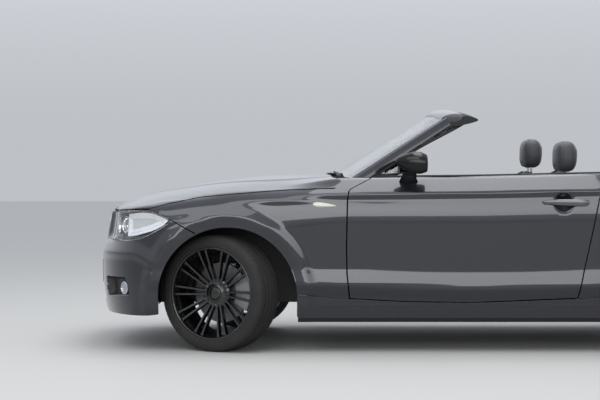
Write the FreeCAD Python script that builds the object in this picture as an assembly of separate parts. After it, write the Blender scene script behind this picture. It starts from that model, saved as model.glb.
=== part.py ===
# Open four-seat convertible car, roof stowed, front wheels turned to the right as it is parked.
# Frame: +X forward, +Y to the car's left, +Z up, origin on the ground under the middle of the box.
import FreeCAD
import Part
import math
import os

V = FreeCAD.Vector

# Driving dimensions, millimetres
car_length = 4360.0
wheelbase = 2660.0
front_overhang = 743.0
front_track = 1484.0
rear_track = 1500.0
tyre_radius = 311.0
tyre_width = 215.0
rim_radius = 246.0
rim_width = 202.0
steer_rest_deg = -28.0
kingpin_y = 655.0
arch_radius = 368.0
arch_centre_z = 296.0
panel_gap = 5.0
skin = 26.0
floor_z = 160.0

front_axle_x = car_length / 2 - front_overhang
rear_axle_x = front_axle_x - wheelbase
front_wheel_y = front_track / 2
rear_wheel_y = rear_track / 2

# Body sections from nose to tail. Columns: x, half width, underside height, lower crease height,
# shoulder height, roll-over mid point (y, z), bonnet or belt edge (y, z), crown height, crease depth
sections = [
    (2200, 800, 215, 420, 600, 772, 640, 700, 668, 690, 0.0),
    (2080, 815, 200, 400, 640, 792, 694, 715, 730, 772, 0.0),
    (1900, 850, 185, 390, 672, 818, 740, 735, 776, 842, 0.0),
    (1700, 866, 180, 380, 708, 832, 774, 750, 810, 882, 0.0),
    (1437, 873, 178, 372, 750, 843, 806, 765, 850, 921, 0.2),
    (1150, 874, 178, 366, 806, 845, 840, 778, 868, 944, 0.7),
    (800, 874, 178, 358, 838, 838, 878, 797, 925, 950, 1.0),
    (150, 874, 178, 338, 846, 834, 890, 797, 933, 955, 1.0),
    (-500, 874, 178, 352, 858, 832, 903, 793, 947, 970, 1.0),
    (-1223, 874, 180, 372, 866, 822, 916, 772, 960, 985, 0.8),
    (-1700, 862, 190, 390, 862, 805, 912, 752, 950, 978, 0.6),
    (-2200, 838, 230, 420, 840, 780, 880, 725, 918, 950, 0.5),
]
# Flank between lower crease (0) and shoulder (1): share of the height, inset from the half width
flank = [(0.0, 6.0), (0.08, 10.0), (0.19, 16.0), (0.42, 8.0), (0.68, 0.0), (0.84, 4.0), (0.95, 13.0)]
sill_inset = 34.0
floor_inset = 66.0


def face_of(points):
    return Part.Face(Part.makePolygon([V(*p) for p in points + points[:1]]))


def arc(a, b, c):
    return Part.Arc(V(*a), V(*b), V(*c)).toShape()


def line(a, b):
    return Part.makeLine(V(*a), V(*b))


def box(x0, x1, y0, y1, z0, z1):
    return Part.makeBox(x1 - x0, y1 - y0, z1 - z0, V(x0, y0, z0))


def cyl(radius, length, at, along):
    return Part.makeCylinder(radius, length, V(*at), V(*along))


def side_prism(outline, y0, y1):
    # A closed outline in x and z, carried from y0 to y1
    f = face_of([(x, y0, z) for x, z in outline])
    return f.extrude(V(0, y1 - y0, 0))


def plan_prism(outline, z0, z1):
    f = face_of([(x, y, z0) for x, y in outline])
    return f.extrude(V(0, 0, z1 - z0))


def mirrored(shape):
    return shape.mirror(V(0, 0, 0), V(0, 1, 0))


def fused(shapes):
    out = shapes[0]
    for s in shapes[1:]:
        out = out.fuse(s)
    return out.removeSplitter()


def section_points(row, inward):
    x, half, z_under, z_low, z_sh, y_roll, z_roll, y_edge, z_edge, z_crown, crease = row
    w = half - inward
    pts = [(w - floor_inset, z_under + inward)]
    pts.append((w - sill_inset, z_low - 62))
    for share, inset in flank:
        deep = inset * crease if share > 0.9 else inset
        pts.append((w - deep, z_low + share * (z_sh - z_low)))
    pts.append((w - 6, z_sh))
    pts.append((y_roll - inward, z_roll - inward * 0.5))
    pts.append((y_edge - inward * 0.6, z_edge - inward))
    return pts, z_crown - inward


def section_wire(row, inward=0.0):
    x = row[0]
    p, crown = section_points(row, inward)
    left = [(x, y, z) for y, z in p]
    right = [(x, -y, z) for y, z in p]
    n = len(left)
    edges = [line(right[0], left[0]), line(left[0], left[1]), line(left[1], left[2])]
    edges.append(arc(left[2], left[3], left[4]))
    edges.append(arc(left[4], left[5], left[6]))
    edges.append(arc(left[6], left[7], left[8]))
    edges.append(line(left[8], left[9]))
    edges.append(arc(left[9], left[10], left[11]))
    edges.append(arc(left[11], (x, 0, crown), right[11]))
    edges.append(arc(right[11], right[10], right[9]))
    edges.append(line(right[9], right[8]))
    edges.append(arc(right[8], right[7], right[6]))
    edges.append(arc(right[6], right[5], right[4]))
    edges.append(arc(right[4], right[3], right[2]))
    edges.append(line(right[2], right[1]))
    edges.append(line(right[1], right[0]))
    return Part.Wire(edges)


# Plan outlines by height: z, nose x, tail x
ends = [
    (90, 2070, -2060),
    (215, 2128, -2120),
    (330, 2164, -2168),
    (500, 2180, -2180),
    (575, 2150, -2160),
    (735, 2122, -2118),
    (880, 2105, -2132),
    (1010, 2095, -2128),
]
plan_power = 2.5
nose_start_x = 1600.0
tail_start_x = -1640.0
plan_half = 877.0


def plan_point(reach, start, angle_deg, half):
    a = math.radians(angle_deg)
    along = start + (reach - start) * math.sin(a) ** (2 / plan_power)
    return (along, half * math.cos(a) ** (2 / plan_power))


def plan_wire(z, nose, tail, inward=0.0):
    half = plan_half - inward
    turn = [0.0, 14.0, 34.0, 52.0, 68.0]
    edges = []
    for reach, start in ((nose - inward, nose_start_x), (tail + inward, tail_start_x)):
        p = [plan_point(reach, start, a, half) for a in turn]
        tip = (reach, 0.0)
        l = [(x, y, z) for x, y in p]
        r = [(x, -y, z) for x, y in p]
        front = [arc(l[0], l[1], l[2]), arc(l[2], l[3], l[4]), arc(l[4], (tip[0], 0, z), r[4])]
        front += [arc(r[4], r[3], r[2]), arc(r[2], r[1], r[0])]
        edges.append((l[0], r[0], front))
    nose_l, nose_r, nose_edges = edges[0]
    tail_l, tail_r, tail_edges = edges[1]
    round_tail = tail_edges[::-1]
    return Part.Wire(nose_edges + [line(nose_r, tail_r)] + round_tail + [line(tail_l, nose_l)])


def body_solid(inward=0.0):
    along = Part.makeLoft([section_wire(r, inward) for r in sections], True, True)
    up = Part.makeLoft([plan_wire(z, n, t, inward) for z, n, t in ends], True, True)
    return along.common(up)


def shaped(outline, y0=0.0, y1=1000.0):
    return side_prism(outline, y0, y1)


# Shut lines in the side view, x and z, from nose to tail
bonnet_line = [(2122, 740), (2060, 750), (1858, 760), (1750, 788), (1589, 820), (1427, 837)]
bonnet_line += [(1266, 850), (1105, 861), (943, 867), (862, 869)]
lamp_tip = (1727, 702)
bumper_joint = (1597, 629)
lamp_low = [(1770, 668), (1840, 630), (1905, 600), (1990, 588), (2040, 590)]
door_front = [(786, 288), (800, 420), (803, 560), (798, 800), (790, 862), (668, 926)]
door_rear = [(-420, 290), (-528, 812), (-560, 905), (-575, 948)]
sill_line = [(1067, 313), (786, 288), (500, 272), (150, 266), (-420, 288), (-855, 312)]
quarter_joint = [(-1580, 560), (-1800, 580), (-2000, 596), (-2200, 606)]
rear_lamp = [(-1905, 735), (-1990, 655), (-2200, 640), (-2200, 790), (-1960, 786)]
boot_front_x = -1560.0
boot_half = 560.0
cockpit_rear_x = -1150.0
cockpit_half = 716.0
cowl_half_x = 850.0
hinge_x = 755.0
hinge_y = 806.0
hinge_heights = (400.0, 690.0)
hinge_height = 22.0
hinge_pin = 8.0
hinge_eye = 14.0
running = 0.05
door_step_y = 790.0
pillar_y = 702.0
cowl_y = 764.0
cowl_z = 872.0
tonneau_half = 690.0
frame_depth = 50.0
frame_band = 42.0
lamp_in_y = 345.0
lamp_rear_y = 566.0
slat_count = 8
# Openings of the bumpers in the front view, y and z
fog_opening = [(520, 360), (735, 370), (750, 288), (580, 272)]
intake_opening = [(-400, 335), (400, 335), (440, 245), (-440, 245)]
exhaust_opening = [(330, 150), (330, 262), (560, 262), (560, 150)]
kidney_corners = [(18, 716), (175, 712), (200, 690), (188, 606), (150, 590), (40, 590), (18, 606)]
kidney_outward = [(-1, 1), (1, 1), (1, 0), (1, -1), (0, -1), (0, -1), (-1, 0)]
jack_x = (-560.0, 760.0)
spoke_pairs = 10
spoke_phase_deg = -3.0
bolt_count = 5
bolt_phase_deg = 43.0
spoke_width = 9.0
spoke_gap = 9.0
spoke_splay = 4.0
bore_radius = 32.0
bolt_radius = 11.0
bolt_circle = 60.0
hub_back = 12.0
disc_radius = 160.0
liner_radius = 385.0
liner_wall = 6.0
fit = 0.3
boot_low_z = 612.0
knuckle_half = 110.0
kingpin_radius = 12.0
seat_width = 500.0
seat_y = 360.0
rear_seat_half = 560.0
head_z = 1132.0
handle_x = (-475.0, -227.0)
handle_z = (776.0, 812.0)
cup_centre = (-345.0, 915.0, 795.0)
cup_radius = 70.0
floor_skin = 22.0
column_tilt = 24.0
column_radius = 32.0
rail_y = (386.0, 440.0)
wheel_centre = (470.0, 360.0, 790.0)
wiper_lift = 9.5
wiper_rows = ((560.0, -40.0, 0.07), (20.0, -560.0, 0.045))


def shell_of(outer):
    return outer.cut(body_solid(skin))


def arch_cutter(axle_x, y0, radius, length=700.0):
    c = cyl(radius, length, (axle_x, y0, arch_centre_z), (0, 1, 0))
    return c.fuse(box(axle_x - radius, axle_x + radius, y0, y0 + length, -50, arch_centre_z))


def door_outline(grow=0.0):
    front = [(x + grow, z) for x, z in door_front]
    rear = [(x - grow, z) for x, z in door_rear]
    low = [(x, z - grow) for x, z in sill_line if door_rear[0][0] < x < door_front[0][0]]
    front[0] = (front[0][0], front[0][1] - grow)
    rear[0] = (rear[0][0], rear[0][1] - grow)
    top = [(rear[-1][0], 1040), (front[-1][0], 1040)]
    return front[::-1] + low + rear + top


def door_sweep(radius_more=0.0):
    # What the front edge of the door sweeps about its hinge line, as a turned solid
    rows = [(200, 50), (288, 44), (358, 64), (470, 60), (690, 70), (820, 62), (846, 64)]
    rows += [(900, 40), (1000, 30)]
    reach = door_front[3][0] - hinge_x
    pts = [(math.hypot(reach, dy) + radius_more, z) for z, dy in rows]
    poly = [V(hinge_x, hinge_y, rows[0][0])] + [V(hinge_x + r, hinge_y, z) for r, z in pts]
    poly += [V(hinge_x, hinge_y, rows[-1][0])]
    face = Part.Face(Part.makePolygon(poly + poly[:1]))
    return face.revolve(V(hinge_x, hinge_y, 0), V(0, 0, 1), 360)


def door(outer):
    d = outer.common(shaped(door_outline(), cockpit_half, 1000))
    inner = shaped(door_outline(), cockpit_half, door_step_y)
    trim = shaped([(x - 14, z + 12) for x, z in door_outline()], cockpit_half, door_step_y)
    trim = trim.cut(box(-1200, door_rear[0][0] + 16, cockpit_half, door_step_y, 200, 1100))
    d = d.cut(inner.cut(trim)).removeSplitter()
    d = d.cut(box(hinge_x + 10, 1000, 600, 1000, 200, 1100).cut(door_sweep()))
    d = d.cut(Part.makeSphere(cup_radius, V(*cup_centre)))
    for z in hinge_heights:
        d = d.cut(box(hinge_x - 40, 900, 690, hinge_y + 28, z - 8, z + hinge_height * 2 + 8))
        seat_z = z + hinge_height + fit
        arm = box(hinge_x - 60, hinge_x, hinge_y - 11, hinge_y + 11, seat_z, z + 2 * hinge_height)
        eye = cyl(hinge_eye, hinge_height - fit, (hinge_x, hinge_y, seat_z), (0, 0, 1))
        d = d.fuse([arm, eye])
        d = d.cut(cyl(hinge_pin + running, 200, (hinge_x, hinge_y, z - 50), (0, 0, 1)))
    return d


def door_hinge_straps():
    out = []
    for z in hinge_heights:
        out.append(box(hinge_x - 11, hinge_x + 11, pillar_y, hinge_y, z, z + hinge_height))
        out.append(cyl(hinge_eye, hinge_height, (hinge_x, hinge_y, z), (0, 0, 1)))
        out.append(cyl(hinge_pin, 2 * hinge_height, (hinge_x, hinge_y, z), (0, 0, 1)))
    return out


def fender(shell):
    drop = panel_gap - fit
    outline = [bonnet_line[2], lamp_tip, bumper_joint, (1437, 500), (1067, 313 - drop)]
    outline += [(door_front[0][0] + panel_gap, door_front[0][1] - drop + 0.6)]
    outline += [(x + panel_gap, z) for x, z in door_front[1:]]
    outline += [(door_front[-1][0], 1000), (cowl_half_x, 1000), (cowl_half_x, 869)] + bonnet_line[:2:-1]
    f = shell.common(shaped(outline, 300, 1000))
    f = f.cut(arch_cutter(front_axle_x, 500, arch_radius))
    f = f.cut(door_sweep(panel_gap))
    f = f.cut(shaped(door_outline(panel_gap), 300, 1000))
    f = f.cut(box(600, cowl_half_x + 14, 0, cowl_y, 700, 1100))
    return largest(f)


def bonnet(shell):
    line_up = [(x, z + panel_gap) for x, z in bonnet_line]
    above = [(2300, 745)] + line_up + [(780, 875), (780, 1100), (2300, 1100)]
    b = shell.common(side_prism(above, -1000, 1000))
    corner_x = cowl_half_x + panel_gap
    edge = [(925, 0), (912, 250), (885, 500), (corner_x, 800), (corner_x, 1000)]
    rear = edge + [(700, 1000), (700, -1000)] + [(x, -y) for x, y in edge[:0:-1]]
    return largest(b.cut(plan_prism(rear, 600, 1200)))


def largest(shape):
    return sorted(shape.Solids, key=lambda s: -s.Volume)[0]


def bumper_front(shell):
    outline = [(2300, 737)] + [(x, z - panel_gap) for x, z in bonnet_line[:3]]
    outline += [lamp_tip, bumper_joint, (1437, 500), (1437, 0), (2300, 0)]
    b = shell.common(side_prism(outline, -1000, 1000)).cut(box(1437, 2300, -1000, 1000, 0, 190))
    for side in (1, -1):
        y0 = 500 if side > 0 else -1200
        b = b.cut(arch_cutter(front_axle_x, y0, arch_radius))
        b = b.cut(side_prism(lamp_outline(0.5), lamp_in_y * side, 1000 * side))
        b = b.cut(front_prism([(y * side, z) for y, z in fog_opening], 1900, 2300))
        b = b.cut(front_prism([(y * side, z) for y, z in kidney_outline(0.5)], 2000, 2300))
    b = b.cut(front_prism(intake_opening, 2000, 2300))
    return largest(b.cut(box(1000, 2040, -600, 600, 0, 560)))


def front_prism(outline, x0, x1):
    f = face_of([(x0, y, z) for y, z in outline])
    return f.extrude(V(x1 - x0, 0, 0))


def lamp_outline(grow=0.0):
    top = [(x, z - panel_gap + grow) for x, z in bonnet_line[:3]]
    low = [(x, z - grow) for x, z in lamp_low]
    return [(2300, 732 + grow)] + top + [lamp_tip] + low + [(2300, 592 - grow)]


def headlight(outer):
    lamp = outer.common(shaped(lamp_outline(), lamp_in_y, 1000))
    back = [(2030, 0), (2000, lamp_in_y), (1930, 520), (1760, 720), (1700, 760), (1400, 760), (1400, 0)]
    return lamp.cut(plan_prism(back, 500, 900))


def kidney_outline(grow=0.0):
    return [(y + grow * a, z + grow * b) for (y, z), (a, b) in zip(kidney_corners, kidney_outward)]


def grille(outer):
    # Two framed openings with upright slats on one backing
    pieces = [box(2062, 2086, -206, 206, 594, 712)]
    for side in (1, -1):
        ring = front_prism([(y * side, z) for y, z in kidney_outline()], 2000, 2300)
        pieces.append(ring.cut(front_prism([(y * side, z) for y, z in kidney_outline(-13.0)], 1990, 2310)))
        for i in range(slat_count):
            y = side * (38 + i * (140.0 / (slat_count - 1)))
            slat = box(2080, 2300, y - 3, y + 3, 588, 716)
            inside = [(p * side, z) for p, z in kidney_outline(-2.0)]
            pieces.append(slat.common(front_prism(inside, 2070, 2300)))
    whole = fused(pieces).cut(box(1900, 2062, -400, 400, 500, 800))
    return largest(whole.common(outer))


def bumper_rear(shell):
    outline = [quarter_joint[0]] + [(x, z - 4) for x, z in quarter_joint[1:]]
    outline += [(-2300, 600), (-2300, 0), (-1400, 0)]
    b = shell.common(side_prism(outline, -1000, 1000)).cut(box(-2300, -1400, -1000, 1000, 0, 195))
    for y0 in (500, -1200):
        b = b.cut(arch_cutter(rear_axle_x, y0, arch_radius))
    b = b.cut(front_prism(exhaust_opening, -2300, -1900))
    return largest(b.cut(box(-2040, -1100, -600, 600, 0, 560)))


def quarter(outer, shell, inner_room):
    outline = [(door_rear[0][0] - panel_gap, door_rear[0][1] - panel_gap + fit)]
    outline += [(x - panel_gap, z) for x, z in door_rear[1:]]
    outline += [(door_rear[-1][0] - panel_gap, 1100), (-2300, 1100)]
    outline += [(-2300, 606)] + quarter_joint[-2::-1]
    outline += [(rear_axle_x, 500), (-855, 312 - panel_gap + fit)]
    region = shaped(outline, 0, 1000)
    thick = outer.common(region).common(box(cockpit_rear_x, 0, cockpit_half, 1000, 0, 1100))
    thick = thick.cut(liner_zone(rear_axle_x, inner_room))
    thin = shell.common(region).common(box(-2300, cockpit_rear_x, 400, 1000, 0, 1100))
    seam = boot_front_x + 3 - fit
    thin = thin.cut(box(seam, cockpit_rear_x, 0, tonneau_half + fit, 0, 1100))
    thin = thin.cut(box(-2300, seam, 0, boot_half + panel_gap, 0, 1100))
    q = thick.fuse(thin).cut(arch_cutter(rear_axle_x, 500, arch_radius))
    return largest(q.cut(side_prism(widened(rear_lamp), 300, 1000)))


def widened(points, by=0.5):
    cx = sum(p[0] for p in points) / len(points)
    cz = sum(p[1] for p in points) / len(points)
    out = []
    for x, z in points:
        far = math.hypot(x - cx, z - cz)
        out.append((x + (x - cx) / far * by, z + (z - cz) / far * by))
    return out


def tonneau(shell):
    return shell.common(box(boot_front_x + 3, cockpit_rear_x, -tonneau_half, tonneau_half, 700, 1100))


def boot_lid(shell):
    cut = boot_front_x - 2
    front = [(cut, 1100), (cut, 985), (cut - 20, 930), (cut - 20, boot_low_z)]
    front += [(-2300, boot_low_z), (-2300, 1100)]
    return largest(shell.common(side_prism(front, -boot_half, boot_half)))


def liner_zone(axle_x, inner_room):
    # What a wheel liner fills, with its clearance, inside the outer skin
    tub = cyl(liner_radius + liner_wall + fit, 500, (axle_x, 400, arch_centre_z), (0, 1, 0))
    return tub.common(inner_room)


def sill(outer, inner_room):
    line_top = [(x, z - panel_gap) for x, z in sill_line]
    block = outer.common(shaped(line_top + [(-855, 100), (1067, 100)], pillar_y, 1000))
    for axle in (front_axle_x, rear_axle_x):
        block = block.cut(arch_cutter(axle, 500, arch_radius + 2)).cut(liner_zone(axle, inner_room))
    pads = [box(x - 40, x + 40, 735, 775, 162, 190) for x in jack_x]
    return fused([block] + pads)


# Windscreen: the glass face between a base arc and a top arc, side point and middle
screen_base = (771, 760, 925, 889, 934)
screen_top = (252, 600, 1258, 287, 1302)
screen_normal = (0.5216, 0.0, 0.8532)


def screen_slab(inset, low, high, n0, n1, inset_top=None):
    # A slice of the raked screen between two heights (shares) and two depths behind its outer face
    wires = []
    for share in (low, high):
        sx, sy, sz, mx, mz = [a + share * (b - a) for a, b in zip(screen_base, screen_top)]
        cut = inset if share == low or inset_top is None else inset_top
        k = ((sy - cut) / sy) ** 2
        ex, ez, ey = mx - (mx - sx) * k, mz - (mz - sz) * k, sy - cut
        run = math.hypot(mx - sx, mz - sz)
        ux, uz = (mx - sx) / run, (mz - sz) / run
        deep = 1.0 / (ux * screen_normal[0] + uz * screen_normal[2])
        rows = []
        for n in (n0, n1):
            dx, dz = -ux * n * deep, -uz * n * deep
            rows.append(((ex + dx, ey, ez + dz), (mx + dx, 0, mz + dz), (ex + dx, -ey, ez + dz)))
        edges = [arc(*rows[0]), line(rows[0][2], rows[1][2]), arc(rows[1][2], rows[1][1], rows[1][0])]
        edges.append(line(rows[1][0], rows[0][0]))
        wires.append(Part.Wire(edges))
    return Part.makeLoft(wires, True, True)


def windscreen_frame():
    f = screen_slab(0, -0.18, 1.0, 0, frame_depth).cut(box(600, 1000, -900, 900, 700, cowl_z))
    f = f.cut(screen_slab(frame_band, 0.055, 0.965, -20, frame_depth + 30, frame_band - 8))
    profile = [(40, -14), (12, 10), (-40, 20), (-95, 8), (-128, -30), (-118, -42), (-60, -48), (20, -46)]
    wires = []
    for y in (-600, -300, 0, 300, 600):
        k = 1 - (y / 600.0) ** 2
        x0 = screen_top[0] + (screen_top[3] - screen_top[0]) * k - 8
        z0 = screen_top[2] + (screen_top[4] - screen_top[2]) * k - 2
        wires.append(Part.makePolygon([V(x0 + x, y, z0 + z) for x, z in profile + profile[:1]]))
    f = f.fuse(Part.makeLoft(wires, True, True)).removeSplitter()
    f = f.cut(screen_slab(frame_band, 0.055, 0.965, -20, 8 + fit, frame_band - 8))
    for side in (1, -1):
        f = f.cut(side_prism(door_outline(panel_gap), side * (cockpit_half - panel_gap), side * 1000))
        f = f.cut(box(600, 1100, *sorted((side * (cowl_y - fit), side * 1000)), 700, 1000))
    return largest(f)


def glass():
    return screen_slab(frame_band + 0.3, 0.0555, 0.9645, 3, 8, frame_band - 7.7)


def cowl(inner_room):
    tray = box(735, 1010, -cowl_y, cowl_y, cowl_z - 8, cowl_z).cut(box(700, 862, -684, 684, 800, 900))
    tray = tray.fuse(box(990, 1010, -cowl_y, cowl_y, cowl_z - 8, 900)).common(inner_room)
    tray = tray.cut(box(600, 810, 700, 1000, 800, 900)).cut(box(600, 810, -1000, -700, 800, 900))
    return tray.removeSplitter()


def turned(profile, turn=360):
    # A closed outline in radius and y, turned about the wheel's axis
    ring = Part.makePolygon([V(r, y, 0) for r, y in profile + profile[:1]])
    return Part.Face(ring).revolve(V(), V(0, 1, 0), turn)


def rim():
    # Turned barrel, hub and ten paired spokes, with the brake disc behind; the outer face looks along +Y
    w = rim_width / 2
    r = rim_radius
    barrel = turned([(r, w), (r - 22, w - 34), (r - 22, 16 - w), (r, -w)] +
                    [(r - 8, -w), (r - 30, 24 - w), (r - 30, w - 38), (r - 8, w)])
    hub = turned([(bore_radius, hub_back), (78, hub_back), (80, 38), (40, 58), (0, 58), (0, 46)] +
                 [(bore_radius, 46)])
    spoke = [(40, 32), (70, 52), (190, 80), (r - 18, 92), (r - 18, 62), (190, 50), (60, 20), (40, 20)]
    parts = [barrel, hub]
    for i in range(spoke_pairs):
        for side in (-1, 1):
            side_view = Part.makePolygon([V(x, y, 0) for x, y in spoke + spoke[:1]])
            s = Part.Face(side_view).extrude(V(0, 0, spoke_width))
            s.translate(V(0, 0, -spoke_width / 2 + side * spoke_gap))
            s.rotate(V(55, 0, side * spoke_gap), V(0, 1, 0), -side * spoke_splay)
            s.rotate(V(0, 0, 0), V(0, 1, 0), 360.0 / spoke_pairs * i + spoke_phase_deg)
            parts.append(s)
    wheel = fused(parts)
    for i in range(bolt_count):
        a = math.radians(360.0 / bolt_count * i + bolt_phase_deg)
        seat_of_bolt = (bolt_circle * math.cos(a), 30, bolt_circle * math.sin(a))
        wheel = wheel.cut(cyl(bolt_radius, 60, seat_of_bolt, (0, 1, 0)))
    hat = [(78, -6), (78, hub_back), (bore_radius, hub_back)]
    disc = turned([(bore_radius, -28), (disc_radius, -28), (disc_radius, -6)] + hat)
    return wheel.fuse(disc)


def tyre():
    h = tyre_width / 2
    r = tyre_radius
    prof = [(rim_radius + fit, rim_width / 2), (rim_radius + 30, h), (r - 16, h - 6), (r, h - 28)]
    return turned(prof + [(x, -y) for x, y in prof[::-1]])


def at(shape, x, y, z):
    s = shape.copy()
    s.translate(V(x, y, z))
    return s


def caliper(back):
    # Straddles the disc on the side given by back, about the hub at the origin
    ring = cyl(188, 66, (0, -56, 0), (0, 1, 0)).cut(cyl(104, 100, (0, -70, 0), (0, 1, 0)))
    wedge = side_prism([(0, 0), (back * 230, 130), (back * 230, -130)], -80, 80)
    gap = cyl(disc_radius + 6, 32, (0, -33, 0), (0, 1, 0))
    return ring.common(wedge).cut(gap)


def knuckle():
    drop = kingpin_y - front_wheel_y
    upright = box(-32, 32, drop - 25, drop + 25, -knuckle_half, knuckle_half)
    spindle = cyl(bore_radius - running, 44 - drop, (0, drop, 0), (0, 1, 0))
    flange = cyl(70, 16, (0, -58, 0), (0, 1, 0))
    plate = box(-150, -20, -68, -56, -28, 28)
    k = fused([upright, spindle, flange, plate])
    pin = cyl(kingpin_radius + running, 32, (0, drop, knuckle_half - 30), (0, 0, 1))
    return k.cut(pin).cut(pin.mirror(V(0, 0, 0), V(0, 0, 1)))


def front_axle():
    z = tyre_radius
    pieces = [box(front_axle_x - 40, front_axle_x + 40, -380, 380, 150, 186)]
    for side in (1, -1):
        def both(y0, y1):
            return sorted((side * y0, side * y1))
        y0, y1 = both(330, 380)
        pieces.append(box(front_axle_x - 32, front_axle_x + 32, y0, y1, 150, z + knuckle_half + 24))
        y0, y1 = both(330, 440)
        pieces.append(box(front_axle_x - 32, front_axle_x + 32, y0, y1, z + knuckle_half + 20, 452))
        y0, y1 = both(360, kingpin_y + 24)
        seat_z = knuckle_half + fit
        low = box(front_axle_x - 30, front_axle_x + 30, y0, y1, z - knuckle_half - 22, z - seat_z)
        top = box(front_axle_x - 24, front_axle_x + 24, y0, y1, z + seat_z, z + knuckle_half + 20)
        pieces += [low, top]
        x, y = front_axle_x, side * kingpin_y
        pieces.append(cyl(kingpin_radius, 40, (x, y, z - knuckle_half - 15), (0, 0, 1)))
        pieces.append(cyl(kingpin_radius, 40, (x, y, z + knuckle_half - 25), (0, 0, 1)))
    return fused(pieces)


def rear_axle():
    z = tyre_radius
    pieces = [box(rear_axle_x - 60, rear_axle_x + 60, -380, 380, 215, 290)]
    for side in (1, -1):
        hub = rear_wheel_y
        pieces.append(cyl(62, 30, (rear_axle_x, side * (hub - 62), z), (0, -side, 0)))
        stub = (rear_axle_x, side * (hub - 80), z)
        pieces.append(cyl(bore_radius - running, 44 + 80, stub, (0, side, 0)))
        y0, y1 = sorted((side * 300, side * 340))
        pieces.append(box(rear_axle_x - 20, rear_axle_x + 20, y0, y1, 280, 340 - fit))
        y0, y1 = sorted((side * 360, side * (hub - 84)))
        pieces.append(box(rear_axle_x - 40, rear_axle_x + 40, y0, y1, 236, 276))
        y0, y1 = sorted((side * (hub - 74), side * (hub - 56)))
        pieces.append(box(rear_axle_x + 20, rear_axle_x + 150, y0, y1, z - 26, z + 26))
    return fused(pieces)


def liner(axle_x, y_in, inner_room):
    r = liner_radius
    tub = cyl(r + liner_wall, 500, (axle_x, y_in - liner_wall, arch_centre_z), (0, 1, 0))
    tub = tub.cut(cyl(r, 600, (axle_x, y_in, arch_centre_z), (0, 1, 0)))
    tub = tub.cut(box(axle_x - 500, axle_x + 500, 0, 1000, 0, 240))
    tub = tub.cut(box(axle_x - 90, axle_x + 90, 0, y_in + 10, 0, 470))
    return tub.common(inner_room)


def floor_pan(inner_room):
    # Firewall, toe board, floor, seat step and rear bulkhead as one pressing, seen from the side
    under = [(1032, cowl_z - 8), (1032, 414), (924, floor_z), (-568, floor_z), (-658, 318), (-1112, 318)]
    under += [(-1172, 496), (-1172, 930)]
    over = [(-1150, 930), (-1150, 500), (-1098, 340), (-642, 340), (-554, floor_z + floor_skin)]
    over += [(910, floor_z + floor_skin), (1010, 420), (1010, cowl_z - 8)]
    pan = side_prism(under + over, -pillar_y, pillar_y)
    low = floor_z + floor_skin - 4
    ridge = [(900, low), (-560, low), (-560, 290), (800, 290), (980, 420), (1012, 420)]
    tunnel = side_prism(ridge, -105, 105)
    pieces = [pan, tunnel]
    for side in (1, -1):
        pan_cut = box(-1300, -820, 600, 1000, 0, 1100)
        pieces[0] = pieces[0].cut(pan_cut if side > 0 else mirrored(pan_cut))
        y0, y1 = sorted((side * 684, side * pillar_y))
        pieces.append(box(735, 1032, y0, y1, floor_z + 10, cowl_z - 8))
    return fused(pieces)


def boot_floor(inner_room, pan):
    # Boot tray on its two rails, the cross member behind the bumper and the lid's striker
    pieces = [box(-2050, -1105, -560, 560, 340, 362), box(-2067, -2045, -480, 480, 340, 590)]
    for side in (1, -1):
        y0, y1 = sorted((side * rail_y[0], side * rail_y[1]))
        pieces.append(box(-2050, -1160, y0, y1, 350, 420))
    pieces.append(box(-2200, -2055, -30, 30, 560, 640).common(inner_room))
    return largest(fused(pieces).cut(pan))


def front_frame(inner_room, pan):
    # Two rails ahead of the firewall, the cross member behind the bumper and the lamp and lock carrier
    pieces = [box(2062, 2084, -440, 440, 440, 530)]
    for side in (1, -1):
        y0, y1 = sorted((side * rail_y[0], side * rail_y[1]))
        pieces.append(box(1020, 2064, y0, y1, 452, 520))
    carrier = box(1990, 2012, -440, 440, 500, 560).fuse(box(1990, 2012, -335, 335, 500, 1000))
    pieces.append(carrier.cut(box(1980, 2020, -260, 260, 440, 640)).common(inner_room))
    return largest(fused(pieces).cut(pan))


def exhaust():
    pipe = cyl(26, 1700, (-1700, 90, 128), (1, 0, 0))
    hangers = [box(x, x + 30, 80, 100, 145, floor_z - fit) for x in (-500, -60)]
    box_rear = side_prism([(-1700, 150), (-1700, 270), (-1990, 270), (-1990, 150)], 190, 540)
    link = cyl(26, 200, (-1680, 90, 140), (0, 1, 0))
    tips = []
    for y in (400, 490):
        tip = cyl(36, 170, (-2150, y, 205), (1, 0, 0)).cut(cyl(33, 120, (-2160, y, 205), (1, 0, 0)))
        tips.append(tip)
    return fused([pipe, link, box(-1715, -1650, 60, 290, 108, 200), box_rear] + hangers + tips)


def engine():
    block = box(1120, 1720, -300, 300, 230, 760)
    cover = box(1140, 1700, -170, 170, 760, 836)
    mounts = [box(front_axle_x - 25, front_axle_x + 25, -330 + fit, 330 - fit, 380, 420)]
    sump = side_prism([(1160, 230), (1400, 230), (1380, 192), (1180, 192)], -180, 180)
    return fused([block, cover, sump] + mounts)


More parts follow.
